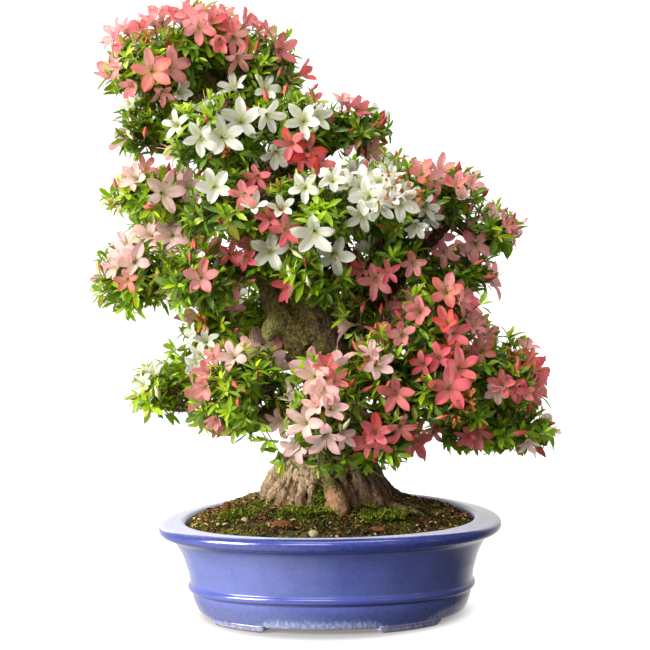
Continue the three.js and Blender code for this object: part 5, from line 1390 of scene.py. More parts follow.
def tufts(batch, x, y, z, normal, tall, gen):
    """Small pointed moss shoots: slightly bent blades."""
    k = len(x)
    axis = unit(normal + gen.normal(0, 0.38, (k, 3)))
    u_, v_ = frames(axis, (1, 0.2, 0))
    spin = gen.uniform(0, 2 * np.pi, k)
    side = np.cos(spin)[:, None] * u_ + np.sin(spin)[:, None] * v_
    bend = np.cross(axis, side)
    at = np.stack([x, y, z], -1)
    w = tall * gen.uniform(0.24, 0.4, k)
    p = np.zeros((k, 5, 3))
    p[:, 0] = at - side * w[:, None] * 0.6
    p[:, 1] = at + side * w[:, None] * 0.6
    mid = at + axis * tall[:, None] * 0.55 + bend * tall[:, None] * 0.12
    p[:, 2] = mid + side * w[:, None]
    p[:, 3] = mid - side * w[:, None]
    p[:, 4] = at + axis * tall[:, None] + bend * (tall * gen.uniform(0.2, 0.6, k))[:, None]
    uv = np.broadcast_to(np.array([(0.3, 0.05), (0.7, 0.05), (0.85, 0.5), (0.15, 0.5), (0.5, 0.95)])[None], (k, 5, 2))
    tile = tiles(gen.integers(0, 64, k), 8)
    uv = tile[:, None, :2] + uv * tile[:, None, 2:]
    batch.join(p, [np.array([(0, 1, 2, 3)]), np.array([(3, 2, 4)])], uv)


def build_carpet():
    """Moss that grows over the soil in patches."""
    gen = np.random.default_rng(103)
    x, y = oval_spots(26000, gen, 1.0)
    p = np.stack([x, y, np.zeros_like(x)], -1)
    field = fbm(p, 44.0, 61, 4) + 0.35 * fbm(p, 9.0, 67, 2)
    near = np.exp(-((np.hypot(x / 95, y / 78) - 0.9) / 0.35) ** 2) * 0.22
    keep = field + near > gen.uniform(-0.22, 0.34, len(x))
    x, y = x[keep], y[keep]
    x, y = x[:13500], y[:13500]
    batch = Batch()
    z = soil_skin(x, y) - 0.3
    tall = np.exp(gen.normal(0.48, 0.3, len(x))).clip(0.7, 3.0)
    tufts(batch, x, y, z, np.tile((0, 0, 1.0), (len(x), 1)), tall, gen)
    return batch.object("moss_carpet", [moss_material()])


carpet = build_carpet()
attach(carpet, "root")

LYING = [
    ("moss_front", -14, -74, 30, 17, 7, 0, "moss", 3), ("moss_left", -94, -44, 26, 20, 6, 0, "moss", 5),
    ("moss_right", 62, -68, 30, 20, 7, 0, "moss", 7), ("moss_back", 14, 84, 36, 18, 6, 0, "moss", 9),
    ("pebble_front", -4, -124, 6.5, 5, 5.5, 0.4, "stone", 11), ("pebble_right", 86, -58, 5.5, 4.5, 4.5, 0.6, "stone", 13),
    ("pebble_left", -88, -70, 4.5, 4, 4, 0.8, "stone", 15), ("bark_chip_front", -42, -96, 13, 6, 4, 1.5, "chip", 17),
    ("bark_chip_left", -118, -14, 5, 4, 9, 4, "chip", 19), ("bark_flake_right", 66, -106, 9, 5, 3, 1, "chip", 21),
]


# Moss that climbs up between the roots' ends, beside each cushion.
NESTS = {
    "moss_front": [(-5, -53, 137, 12, 9, 19), (-36, -66, 131, 8, 6, 6)],
    "moss_right": [(35, -50, 134, 9, 8, 13), (56, -58, 131, 7, 6, 7)],
    "moss_left": [(-56, -46, 132, 8, 8, 9), (-70, -34, 130, 7, 6, 8)],
}


def build_lying():
    moss_m, mound_m = moss_material("moss_tuft", True), mound_material()
    stone_m = stone_material("pebble", srgb(128, 116, 82), srgb(188, 176, 138))
    chip_m = chip_material()
    for name, x, y, rx, ry, rz, lift, kind, seed in LYING:
        gen = np.random.default_rng(200 + seed)
        v, f_ = icosphere(4 if kind == "moss" else 3)
        z0 = float(soil_height(np.array([float(x)]), np.array([float(y)]))[0]) + lift
        lump = 1 + 0.10 * fbm(v, 0.8, seed, 3) + (0.05 * fbm(v, 0.28, seed + 5, 2))
        if kind == "moss":
            rz, z0 = rz * 0.78, z0 - 1.4
            lump = 1 + 0.30 * fbm(v, 0.55, seed, 3)
        if kind == "chip":
            p = np.sign(v) * np.abs(v) ** 0.62
            p = p * (1 + 0.16 * fbm(v * (1, 1, 2.2), 0.5, seed, 3)[:, None])
            verts = np.array([x, y, z0]) + p * (rx, ry, rz) * 0.92
        else:
            verts = np.array([x, y, z0]) + v * (rx, ry, rz) * lump[:, None]
        if kind == "moss":
            verts[:, 2] = np.maximum(verts[:, 2], soil_height(verts[:, 0], verts[:, 1]) - 3)
            batch = Batch()
            flat_uv = np.zeros((1, len(v), 2))
            flat_uv[0] = 0.5 + 0.48 * v[:, :2]
            batch.add(verts[None], f_, flat_uv, 1)
            count = 1900
            d = unit(gen.normal(size=(count, 3)) * (1, 1, 0.7))
            d[:, 2] = np.abs(d[:, 2])
            s = np.array([x, y, z0]) + d * (rx, ry, rz) * (1 + 0.30 * fbm(d, 0.55, seed, 3))[:, None]
            ok = s[:, 2] > soil_height(s[:, 0], s[:, 1]) - 0.5
            s, d = s[ok], d[ok]
            tufts(batch, s[:, 0], s[:, 1], s[:, 2] - 0.3, unit(d * (0.5, 0.5, 1) + (0, 0, 0.4)), gen.uniform(1.4, 4.2, len(s)), gen)
            for nx, ny, nz_, n0, n1, n2 in NESTS.get(name, []):
                w, wf = icosphere(3)
                w_uv = np.zeros((1, len(w), 2))
                w_uv[0] = 0.5 + 0.48 * w[:, :2]
                batch.add((np.array([nx, ny, nz_]) + w * (n0, n1, n2) * (1 + 0.25 * fbm(w, 0.55, seed + 9, 3))[:, None])[None], wf, w_uv, 1)
                d = unit(gen.normal(size=(int(n0 * n2 * 3.2), 3)))
                d[:, 1], d[:, 2] = -np.abs(d[:, 1]), np.abs(d[:, 2])
                s = np.array([nx, ny, nz_]) + d * (n0, n1, n2) * (1 + 0.25 * fbm(d, 0.55, seed + 9, 3))[:, None]
                tufts(batch, s[:, 0], s[:, 1], s[:, 2] - 0.4, unit(d * (0.6, 0.6, 1) + (0, -0.1, 0.5)), gen.uniform(1.6, 3.8, len(s)), gen)
            # The cushion's edge thins out over the soil.
            turn, out = gen.uniform(0, 2 * np.pi, 2400), 0.66 + np.abs(gen.normal(0, 0.52, 2400))
            ex, ey = x + np.cos(turn) * rx * out, y + np.sin(turn) * ry * out
            ok = np.hypot(ex / (A - 37), ey / (B - 21)) < 1
            ok &= np.hypot(ex, ey * 1.1) > 50
            ex, ey = ex[ok], ey[ok]
            tufts(batch, ex, ey, soil_skin(ex, ey) - 0.2, np.tile((0, 0, 1.0), (len(ex), 1)), gen.uniform(1.0, 2.6, len(ex)), gen)
            ob = batch.object(name + "_tuft", [moss_m, mound_m])
        else:
            ob = make_mesh(name + "_piece", verts, [f_], materials=[stone_m if kind == "stone" else chip_m], flat=False)
        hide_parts(name)
        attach(ob, "root")


build_lying()

# ------------------------------------------------------------------ where the flowers stand

centres = np.array([p[1:4] for p in PADS], float)
halves = np.array([p[4:7] for p in PADS], float)


def depth_in(points, which=None):
    """For each point, how deep it is in each pad: 1 on the skin, 0 in the middle."""
    d = points[:, None] - centres[None]
    r_ = np.broadcast_to(halves[None], d.shape).copy()
    r_[..., 2] = np.where(d[..., 2] < 0, r_[..., 2] * 0.82, r_[..., 2])
    return np.linalg.norm(d / r_, axis=-1)


def skin_normal(points, pad):
    r_ = halves[pad].copy()
    d = points - centres[pad]
    r_[..., 2] = np.where(d[..., 2] < 0, r_[..., 2] * 0.82, r_[..., 2])
    return unit(d / r_**2)


def ray(u_, v_):
    return unit(FORWARD + RIGHT * (u_ - SIZE / 2) / FOCAL - UP * (v_ - SIZE / 2) / FOCAL)


def hit(u_, v_, reach=1.0):
    """The first place where the line of sight through u, v meets a pad, or passes closest to one."""
    d = ray(u_, v_)
    best, near = None, None
    for i in range(len(PADS)):
        o = (EYE - centres[i]) / (halves[i] * reach)
        q = d / (halves[i] * reach)
        a_, b_, c_ = q @ q, 2 * o @ q, o @ o - 1
        disc = b_ * b_ - 4 * a_ * c_
        tm = -b_ / (2 * a_)
        if disc > 0:
            t_ = (-b_ - math.sqrt(disc)) / (2 * a_)
            if best is None or t_ < best[0]:
                best = (t_, i)
        miss = math.sqrt(max(0.0, c_ + 1 - b_ * b_ / (4 * a_)))
        if near is None or miss < near[0]:
            near = (miss, tm, i)
    if best:
        return EYE + d * best[0], best[1]
    p, i = EYE + d * near[1], near[2]
    q = np.linalg.norm((p - centres[i]) / halves[i])
    if q > 1.22:
        p = centres[i] + (p - centres[i]) * 1.22 / q
    return p, i


def read(table, width=6):
    words = table.split()
    return [words[i : i + width] for i in range(0, len(words), width)]


KINDS = {"W": "white", "P": "pale", "K": "pink", "S": "salmon"}
flowers = []  # mouth centre, axis, radius, kind, pad
for u_, v_, kind, dx, dy, rad in read(FLOWERS):
    u_, v_, dx, dy, rad = float(u_), float(v_), float(dx), float(dy), float(rad)
    p, pad = hit(u_, v_)
    back = -ray(u_, v_)
    lean = RIGHT * dx + UP * dy
    side_on = min(0.96, math.hypot(dx, dy))
    axis = unit(lean + back * math.sqrt(max(0.0, 1 - side_on**2)) + 0.22 * skin_normal(p, pad))
    mm = rad * (EYE - p) @ -FORWARD / FOCAL
    flowers.append((p, axis, max(13.0, min(23.0, mm * 0.89)), KINDS[kind], pad))

special = []
for name, pad_name, direction, kind in BLOOMS:
    pad = [p[0] for p in PADS].index(pad_name)
    d = unit(np.array(direction, float))
    reach = 1 / np.linalg.norm(d / halves[pad]) - 14
    foot = centres[pad] + d * reach
    special.append((name, foot, d, kind, pad))
    # A flower of the table that would stand in the same place gives way.
    flowers = [f_ for f_ in flowers if np.linalg.norm(f_[0] - (foot + d * 20)) > 24]

gen = np.random.default_rng(11)
front_points = np.array([f_[0] for f_ in flowers])
front_kinds = [f_[3] for f_ in flowers]
to_eye = unit(EYE - centres)


def seed_flowers(tries, gap, limit):
    """More flowers on the sides, top and back, coloured like the nearest ones in front."""
    made = [(f_[0], f_[2]) for f_ in flowers] + [(s[1] + s[2] * 20, 22) for s in special]
    out = []
    for _ in range(tries):
        if len(out) >= limit:
            break
        i = int(gen.integers(len(PADS)))
        d = unit(gen.normal(size=3))
        if d[2] < -0.45:
            continue
        r_ = halves[i].copy()
        if d[2] < 0:
            r_[2] *= 0.82
        p = centres[i] + d * r_
        n = unit(d / r_)
        if n @ unit(EYE - p) > 0.12:
            continue
        q = depth_in(p[None])[0]
        q[i] = 2
        if q.min() < 1.04:
            continue
        p = centres[i] + d * r_ * (0.90 if abs(n @ unit(EYE - p)) < 0.5 else 1.0)
        if min(np.linalg.norm(p - m_[0]) for m_ in made) < gap * (0.75 + 0.5 * noise(p[None], 90.0, 5)[0] + 0.25):
            continue
        near = np.argsort(np.linalg.norm((front_points - p) * (1, 0.35, 1.4), axis=1))[:5]
        kind = front_kinds[int(gen.choice(near))]
        axis = unit(n + gen.normal(0, 0.32, 3) + (0, 0, 0.2))
        out.append((p, axis, float(gen.uniform(19, 24)), kind, i))
        made.append((p, 22))
    return out


flowers += seed_flowers(9000, 34.0, 165)
# None stands out past the outermost leaves.
WIDEST = 274.0
flowers = [(f_[0] - np.array([np.sign(f_[0][0]) * max(0.0, abs(f_[0][0]) + f_[2] * 1.05 - WIDEST), 0, 0]), *f_[1:]) for f_ in flowers]

buds = []
for u_, v_, kind, dx, dy, ln in read(BUDS):
    u_, v_, dx, dy, ln = float(u_), float(v_), float(dx), float(dy), float(ln)
    p, pad = hit(u_, v_)
    back = -ray(u_, v_)
    side_on = min(0.97, math.hypot(dx, dy))
    axis = unit(unit(RIGHT * dx + UP * dy) * side_on + back * math.sqrt(1 - side_on**2))
    mm = ln * (EYE - p) @ -FORWARD / FOCAL
    buds.append((p, axis, mm * 1.1, kind, pad))
for _ in range(2600):
    if len(buds) > 190:
        break
    i = int(gen.integers(len(PADS)))
    d = unit(gen.normal(size=3))
    if d[2] < -0.5:
        continue
    r_ = halves[i].copy()
    r_[2] *= 0.82 if d[2] < 0 else 1
    p = centres[i] + d * r_ * 1.02
    n = unit(d / r_)
    q = depth_in(p[None])[0]
    q[i] = 2
    if q.min() < 1.05 or (n @ unit(EYE - p) > 0.3 and gen.random() < 0.8):
        continue
    if min(np.linalg.norm(p - f_[0]) for f_ in flowers) < 22:
        continue
    near = int(np.argmin(np.linalg.norm(front_points - p, axis=1)))
    buds.append((p, unit(n + (0, 0, 0.7) + gen.normal(0, 0.3, 3)), float(gen.uniform(11, 17)), "C" if front_kinds[near] == "W" and gen.random() < 0.8 else "R", i))

# ------------------------------------------------------------------ leaves

gen = np.random.default_rng(23)
LEAF_T = np.array([0, 0.24, 0.54, 0.81, 1.0])
LEAF_W = np.array([0, 0.62, 1.0, 0.66, 0])
LEAN_T = np.array([0, 0.36, 0.72, 1.0])
LEAN_W = np.array([0, 0.88, 0.84, 0])


def add_leaves(batch, base, along, face, length, width, bend, fold, tile, lt, lw):
    """Leaves from base, pointing along, with their upper sides toward face. lt and lw give the outline."""
    if not len(base):
        return
    face = unit(face - (face * along).sum(-1, keepdims=True) * along)
    side = np.cross(along, face)
    b = np.where(np.abs(bend) < 1e-3, 1e-3, bend)[:, None]
    ang = b * lt
    x, y = np.sin(ang) / b, (1 - np.cos(ang)) / b
    mid = base[:, None] + length[:, None, None] * (x[..., None] * along[:, None] - y[..., None] * face[:, None])
    n = np.cos(ang)[..., None] * face[:, None] + np.sin(ang)[..., None] * along[:, None]
    half = 0.5 * width[:, None] * lw
    s = half[..., None] * np.cos(fold)[:, None, None] * side[:, None]
    l_ = half[..., None] * np.sin(fold)[:, None, None] * n
    m = len(lt) - 2
    verts = np.concatenate(
        [mid[:, :1]] + [np.stack([mid[:, i] - s[:, i] + l_[:, i], mid[:, i], mid[:, i] + s[:, i] + l_[:, i]], 1) for i in range(1, m + 1)] + [mid[:, -1:]], 1
    )
    quads = np.array([q for i in range(m - 1) for q in ((3 * i + 2, 3 * i + 3, 3 * i + 6, 3 * i + 5), (3 * i + 1, 3 * i + 2, 3 * i + 5, 3 * i + 4))])
    tris = np.array([(0, 3, 2), (0, 2, 1), (3 * m - 1, 3 * m, 3 * m + 1), (3 * m - 2, 3 * m - 1, 3 * m + 1)])
    flat = np.array([(0.5, 0.0)] + [(0.5 + q * 0.5 * w, t) for t, w in zip(lt[1:-1], lw[1:-1]) for q in (-1, 0, 1)] + [(0.5, 1.0)])
    t = tiles(tile, 8)
    uv = t[:, None, :2] + (0.04 + 0.92 * flat)[None] * t[:, None, 2:]
    batch.join(verts, [quads, tris], uv)


flower_at = np.array([f_[0] for f_ in flowers] + [s[1] + s[2] * 22 for s in special])
flower_axis = np.array([f_[1] for f_ in flowers] + [s[2] for s in special])
flower_r = np.array([f_[2] for f_ in flowers] + [22.0] * len(special))
flower_foot = flower_at - flower_axis * (flower_r * 0.72)[:, None]


def in_a_flower(p):
    """Whether points lie in or just in front of a flower's funnel."""
    out = np.zeros(len(p), bool)
    for foot, axis, r_ in zip(flower_foot, flower_axis, flower_r):
        w = p - foot
        h = w @ axis
        rho = np.linalg.norm(w - h[:, None] * axis, axis=1)
        out |= (h > 4) & (h < r_ * 2.4) & (rho < np.minimum(2.5 + 0.85 * h, r_ * 0.95))
    return out


def fibonacci(n, spin):
    i = np.arange(n) + 0.5
    z = 1 - 2 * i / n
    a = i * math.pi * (3 - math.sqrt(5)) + spin
    s = np.sqrt(1 - z * z)
    return np.stack([s * np.cos(a), s * np.sin(a), z], 1)


# Shoots in places of their own: u v in the view, the pad that carries them, how far behind its middle they are, the way they point in the view, and how close they are to its skin.
HANGING = [
    (216, 428, "lower_left", -8, -0.3, -0.7, 0.9), (238, 427, "lower_left", -20, 0.1, -0.8, 0.9), (250, 434, "lower_left", -24, 0.3, -0.8, 0.9),
    (268, 441, "lower_left", -30, -0.4, -0.8, 0.9), (279, 452, "lower_left", -34, 0.2, -0.9, 0.9), (226, 420, "lower_left", -30, -0.2, -0.5, 0.9),
    (260, 424, "lower_left", -36, 0.2, -0.5, 0.9), (246, 418, "lower_left", -44, 0.0, -0.3, 0.9), (272, 415, "lower_left", -38, 0.4, -0.3, 0.9),
    (282, 464, "lower_centre", 4, -0.7, -0.5, 0.9), (296, 442, "lower_centre", -14, -0.5, -0.4, 0.9), (318, 468, "lower_centre", -18, -0.2, -0.9, 0.9),
    (332, 466, "lower_centre", -20, 0.3, -0.9, 0.9), (346, 461, "lower_centre", -16, 0.6, -0.7, 0.9), (366, 466, "lower_right_centre", -10, -0.2, -0.9, 0.9),
    (381, 461, "lower_right_centre", -14, 0.3, -0.9, 0.9), (392, 456, "lower_right_centre", -6, 0.8, -0.5, 0.9), (278, 362, "lower_left", 16, 0.3, 0.3, 0.6), (284, 374, "lower_left", 10, 0.2, 0.1, 0.6),
    (280, 386, "lower_left", 14, 0.3, -0.1, 0.6), (287, 396, "lower_left", 4, 0.1, 0.2, 0.6), (276, 398, "lower_left", -20, 0.2, 0.1, 0.9),
    (196, 417, "lower_left", 6, -0.5, -0.6, 0.9), (204, 427, "lower_left", 0, -0.3, -0.8, 0.9), (189, 409, "lower_left", 10, -0.6, -0.3, 0.9), (210, 419, "lower_left", -16, -0.3, -0.6, 0.9),
    (202, 412, "lower_left", -20, -0.3, -0.3, 0.9), (180, 318, "left_spur", 0, -0.8, 0.2, 0.9), (174, 351, "left_spur", -4, -0.7, 0.0, 0.9), (184, 360, "left_spur", -8, -0.5, -0.1, 0.9),
    (188, 306, "left_spur", 2, -0.7, 0.4, 0.9), (178, 364, "left_spur", 4, -0.6, -0.3, 0.9), (186, 330, "left_spur", 4, -0.8, 0.1, 0.9), (192, 346, "left_spur", -6, -0.4, 0.2, 0.9),
    (290, 364, "lower_centre", 30, 0.0, 0.6, 0.6), (272, 372, "lower_left", -16, 0.4, 0.4, 0.9), (268, 352, "lower_left", 6, 0.3, 0.6, 0.9),
]
shoots = []  # tip, axis, vigour, pad
for i, (name, *_rest) in enumerate(PADS):
    c, r_ = centres[i], halves[i]
    for reach, gap in ((0.82, 16.0), (0.50, 20.0)):
        mean = float(np.mean(r_)) * reach
        count = int(4 * math.pi * mean**2 / (gap * gap * 0.87))
        d = fibonacci(count, gen.uniform(0, 6.28))
        d = unit(d + gen.normal(0, 0.13, d.shape))
        rr = np.tile(r_, (count, 1))
        rr[:, 2] = np.where(d[:, 2] < 0, rr[:, 2] * 0.82, rr[:, 2])
        # Some shoots are long and some short, so the skin of a pad is ragged.
        k = reach + gen.normal(0, 0.075, count)
        k = np.where(gen.random(count) < 0.2, k + gen.uniform(5, 15, count) / float(np.mean(r_)), k) if reach > 0.7 else k
        p = c + d * rr * k[:, None]
        n = unit(d / rr)
        keep = np.ones(count, bool)
        q = depth_in(p)
        q[:, i] = 9
        keep &= q.min(1) > (0.62 if reach > 0.7 else 0.9)
        under = d[:, 2] < -0.55
        keep &= ~(under & (gen.random(count) < 0.35))
        lift = gen.uniform(0.25, 0.75, count)[:, None] * np.array([0, 0, 1.0])
        axis = unit(n + lift + gen.normal(0, 0.25, (count, 3)))
        for j in np.nonzero(keep)[0]:
            shoots.append((p[j], axis[j], float(gen.uniform(0.8, 1.15)), i, reach))
for u_, v_, pad_name, off, dx, dy, near in HANGING:
    i = [p[0] for p in PADS].index(pad_name)
    d = ray(u_, v_)
    p = EYE + d * ((centres[i] - EYE) @ FORWARD + off) / (d @ FORWARD)
    shoots.append((p, unit(RIGHT * dx + UP * dy - FORWARD * 0.45 + gen.normal(0, 0.12, 3)), float(gen.uniform(0.85, 1.1)), i, near))

tip = np.array([s[0] for s in shoots])
tip_axis = np.array([s[1] for s in shoots])
vigour = np.array([s[2] for s in shoots])
tip_pad = np.array([s[3] for s in shoots])
outer = np.array([s[4] > 0.7 for s in shoots])

# Shoots that end in a flower's mouth are cut back behind it.
blocked = in_a_flower(tip) | in_a_flower(tip + tip_axis * 8)
tip[blocked] -= tip_axis[blocked] * 16 + (unit(tip - centres[tip_pad]) * 6)[blocked]

leaf_parts = {k: [] for k in ("base", "along", "face", "length", "width", "bend", "fold", "tile", "pad", "near")}
GOLD = math.pi * (3 - math.sqrt(5))
# A shoot's tone picks the row of its leaves. Beside a random part it holds painted shade and painted light: inner
# shoots much darker, shoots high in a pad lighter, those on the left lighter and on the right darker.
shoot_tone_and_shade = 3.0 + 1.5 * noise(tip, 40.0, 71) + 1.0 * gen.normal(size=len(tip))
shoot_tone_and_shade += np.where(outer, 0.3, -3.0)
shoot_tone_and_shade += 1.1 * np.clip((tip[:, 2] - centres[tip_pad, 2]) / halves[tip_pad, 2], -1, 1)
shoot_tone_and_shade += -0.9 * smooth(-40, 160, tip[:, 0]) + 0.9 * smooth(-60, -220, tip[:, 0])
# The lower tiers' leaves are made lighter, more on the left and less on the right. On the lower left the inner shoots
# are lifted most, which takes back much of their painted shade, and shoots on the right above the middle are a little
# lighter.
shoot_tone_and_shade += smooth(330, 280, tip[:, 2]) * (0.8 + 0.4 * smooth(-90, -170, tip[:, 0]) - 0.4 * smooth(60, 120, tip[:, 0]))
shoot_tone_and_shade += smooth(340, 300, tip[:, 2]) * smooth(-20, -80, tip[:, 0]) * np.where(outer, 0.5, 2.0)
shoot_tone_and_shade += 0.4 * smooth(330, 380, tip[:, 2]) * smooth(60, 110, tip[:, 0])
for whorl in range(10):
    k = len(tip)
    has = gen.random(k) < (1.0 if whorl < 6 else (0.75, 0.6, 0.6, 0.45)[whorl - 6])
    u_, v_ = frames(tip_axis, (0.2, 0.3, 1))
    a_ = whorl * GOLD + tip_pad * 1.3 + np.arange(k) * 2.1 + gen.normal(0, 0.25, k)
    around = np.cos(a_)[:, None] * u_ + np.sin(a_)[:, None] * v_
    if whorl < 3:
        open_, ln, down = gen.uniform(0.32, 0.75, k), gen.uniform(0.55, 0.8, k), gen.uniform(0.0, 1.5, k)
    elif whorl < 8:
        open_, ln, down = gen.uniform(0.8, 1.35, k), gen.uniform(0.85, 1.2, k), gen.uniform(1.0, 5.0, k)
    else:
        open_, ln, down = gen.uniform(1.0, 1.6, k), gen.uniform(0.7, 1.1, k), gen.uniform(7.0, 15.0, k)
    along = unit(np.cos(open_)[:, None] * tip_axis + np.sin(open_)[:, None] * around + gen.normal(0, 0.1, (k, 3)) + (0, 0, 0.06))
    # The upper side faces up the shoot and to the light.
    face = unit(tip_axis * np.sin(open_)[:, None] - around * np.cos(open_)[:, None] + (0, 0, 0.55) + gen.normal(0, 0.28, (k, 3)))
    length = 21.5 * ln * vigour
    width = length * gen.uniform(0.26, 0.36, k)
    base = tip - tip_axis * down[:, None]
    tone = shoot_tone_and_shade + (1.9 if whorl < 3 else 0.2 if whorl < 6 else -1.0) + gen.normal(0, 0.8, k)
    keep = has.copy()
    mid = base + along * length[:, None] * 0.6
    end = base + along * length[:, None]
    keep &= ~(in_a_flower(mid) | in_a_flower(end)) & (np.abs(end[:, 0]) < WIDEST)
    row = np.clip(np.round(tone), 0, 7).astype(int)
    tile = row * 8 + gen.integers(0, 8, k)
    for key, value in (("base", base), ("along", along), ("face", face), ("length", length), ("width", width), ("bend", gen.uniform(0.1, 0.85, k)), ("fold", gen.uniform(0.12, 0.5, k)), ("tile", tile), ("pad", tip_pad), ("near", outer & (whorl < 8))):
        leaf_parts[key].append(value[keep])
leaf = {k: np.concatenate(v) for k, v in leaf_parts.items()}

leaf_m = leaf_material()
for i, (name, *_rest) in enumerate(PADS):
    batch = Batch()
    for near, lt, lw in ((True, LEAF_T, LEAF_W), (False, LEAN_T, LEAN_W)):
        ok = (leaf["pad"] == i) & (leaf["near"] == near)
        add_leaves(batch, *(leaf[k][ok] for k in ("base", "along", "face", "length", "width", "bend", "fold", "tile")), lt, lw)
    ob = batch.object("foliage_" + name, [leaf_m])
    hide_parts("pad_" + name)
    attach(ob, "root")

# ------------------------------------------------------------------ twigs

gen = np.random.default_rng(29)
skeleton = np.concatenate([catmull(p, 8) for p in [TRUNK[5:]] + LIMBS])
ZONES = {}
for i, p in enumerate(PADS):
    ZONES[i] = "back" if p[0].startswith("back") else ("apex" if p[3] > 590 else "upper" if p[3] > 520 else "middle" if p[3] > 385 else "lower")
twig_m = twig_material()
twig_batches = {}
shoot_joint = np.zeros_like(tip)
for i, (name, *_rest) in enumerate(PADS):
    batch = twig_batches.setdefault(ZONES[i], Batch())
    mine = np.nonzero(tip_pad == i)[0]
    c, r_ = centres[i], halves[i]
    d = np.linalg.norm(skeleton[:, :3] - (c - (0, 0, 0.3 * r_[2])), axis=1) + np.abs(skeleton[:, 3] - 5) * 0.6
    root = skeleton[int(np.argmin(d))]
    # Main branchlets of the pad, from the limb out to nine places in it.
    n_b = 9
    ends = c + fibonacci(n_b, i * 1.1) * r_ * (0.55, 0.55, 0.42) + (0, 0, -0.12 * r_[2])
    start = np.tile(root[:3], (n_b, 1)) + gen.normal(0, 1.0, (n_b, 3))
    mid = (start + ends) / 2 + gen.normal(0, 5, (n_b, 3)) - (0, 0, 0.12 * r_[2])
    path = bezier(start, mid, ends, 6)
    wob = gen.normal(0, 1.1, path.shape)
    wob[:, 0] = 0
    path = path + wob
    width = np.linspace(1, 0.42, 6)[None] * gen.uniform(2.1, 3.3, (n_b, 1)) * min(1.2, max(0.7, root[3] / 6))
    tubes(batch, path, width, 5, tiles(gen.integers(0, 16, n_b), 4))
    # Side twigs to each shoot's tip.
    points = path[:, 2:].reshape(-1, 3)
    if len(mine):
        dist = np.linalg.norm(points[None] - tip[mine][:, None], axis=-1)
        j = np.argmin(dist + gen.uniform(0, 5, dist.shape), axis=1)
        a_ = points[j]
        b_ = tip[mine]
        bendp = (a_ + b_) / 2 + gen.normal(0, 2.6, a_.shape) - tip_axis[mine] * 3
        tubes(batch, bezier(a_, bendp, b_, 3), np.linspace(1.3, 0.6, 3)[None] * gen.uniform(0.8, 1.2, (len(mine), 1)), 3, tiles(gen.integers(0, 16, len(mine)), 4))
    # Stalks of flowers and buds hang on the same branchlets.
    carried = [(foot, axis) for foot, axis, f_ in zip(flower_foot, flower_axis, [f_[4] for f_ in flowers] + [s[4] for s in special]) if f_ == i] + [(b[0] - b[1] * b[2] * 0.5, b[1]) for b in buds if b[4] == i]
    if carried:
        foot = np.array([x[0] for x in carried])
        ax = np.array([x[1] for x in carried])
        dist = np.linalg.norm(points[None] - foot[:, None], axis=-1)
        j = np.argmin(dist, axis=1)
        a_ = points[j]
        bendp = foot - ax * np.minimum(14, dist.min(1) * 0.5)[:, None]
        tubes(batch, bezier(a_, bendp, foot - ax * 5, 4), np.tile(np.linspace(1.2, 0.7, 4), (len(foot), 1)), 4, tiles(gen.integers(0, 16, len(foot)), 4))
for zone, batch in twig_batches.items():
    ob = batch.object("twigs_" + zone, [twig_m])
    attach(ob, "root")

# ------------------------------------------------------------------ flowers

STATION = np.array([0, 0.14, 0.26, 0.37, 0.48, 0.61, 0.76, 0.90, 1.0])
ANGLE = np.radians([13, 22, 36, 48, 55, 61, 70, 84, 102])
ACROSS = np.array([-1, -0.66, -0.33, 0, 0.33, 0.66, 1.0])
LOBE_U = np.array([0, 0.18, 0.38, 0.56, 0.74, 0.88, 1.0])
LOBE_W = np.array([0.98, 1.03, 1.06, 1.03, 0.86, 0.56, 0.08])
PETAL_QUADS = np.array([(i * 7 + j, i * 7 + j + 1, i * 7 + j + 8, i * 7 + j + 7) for i in range(8) for j in range(6)])


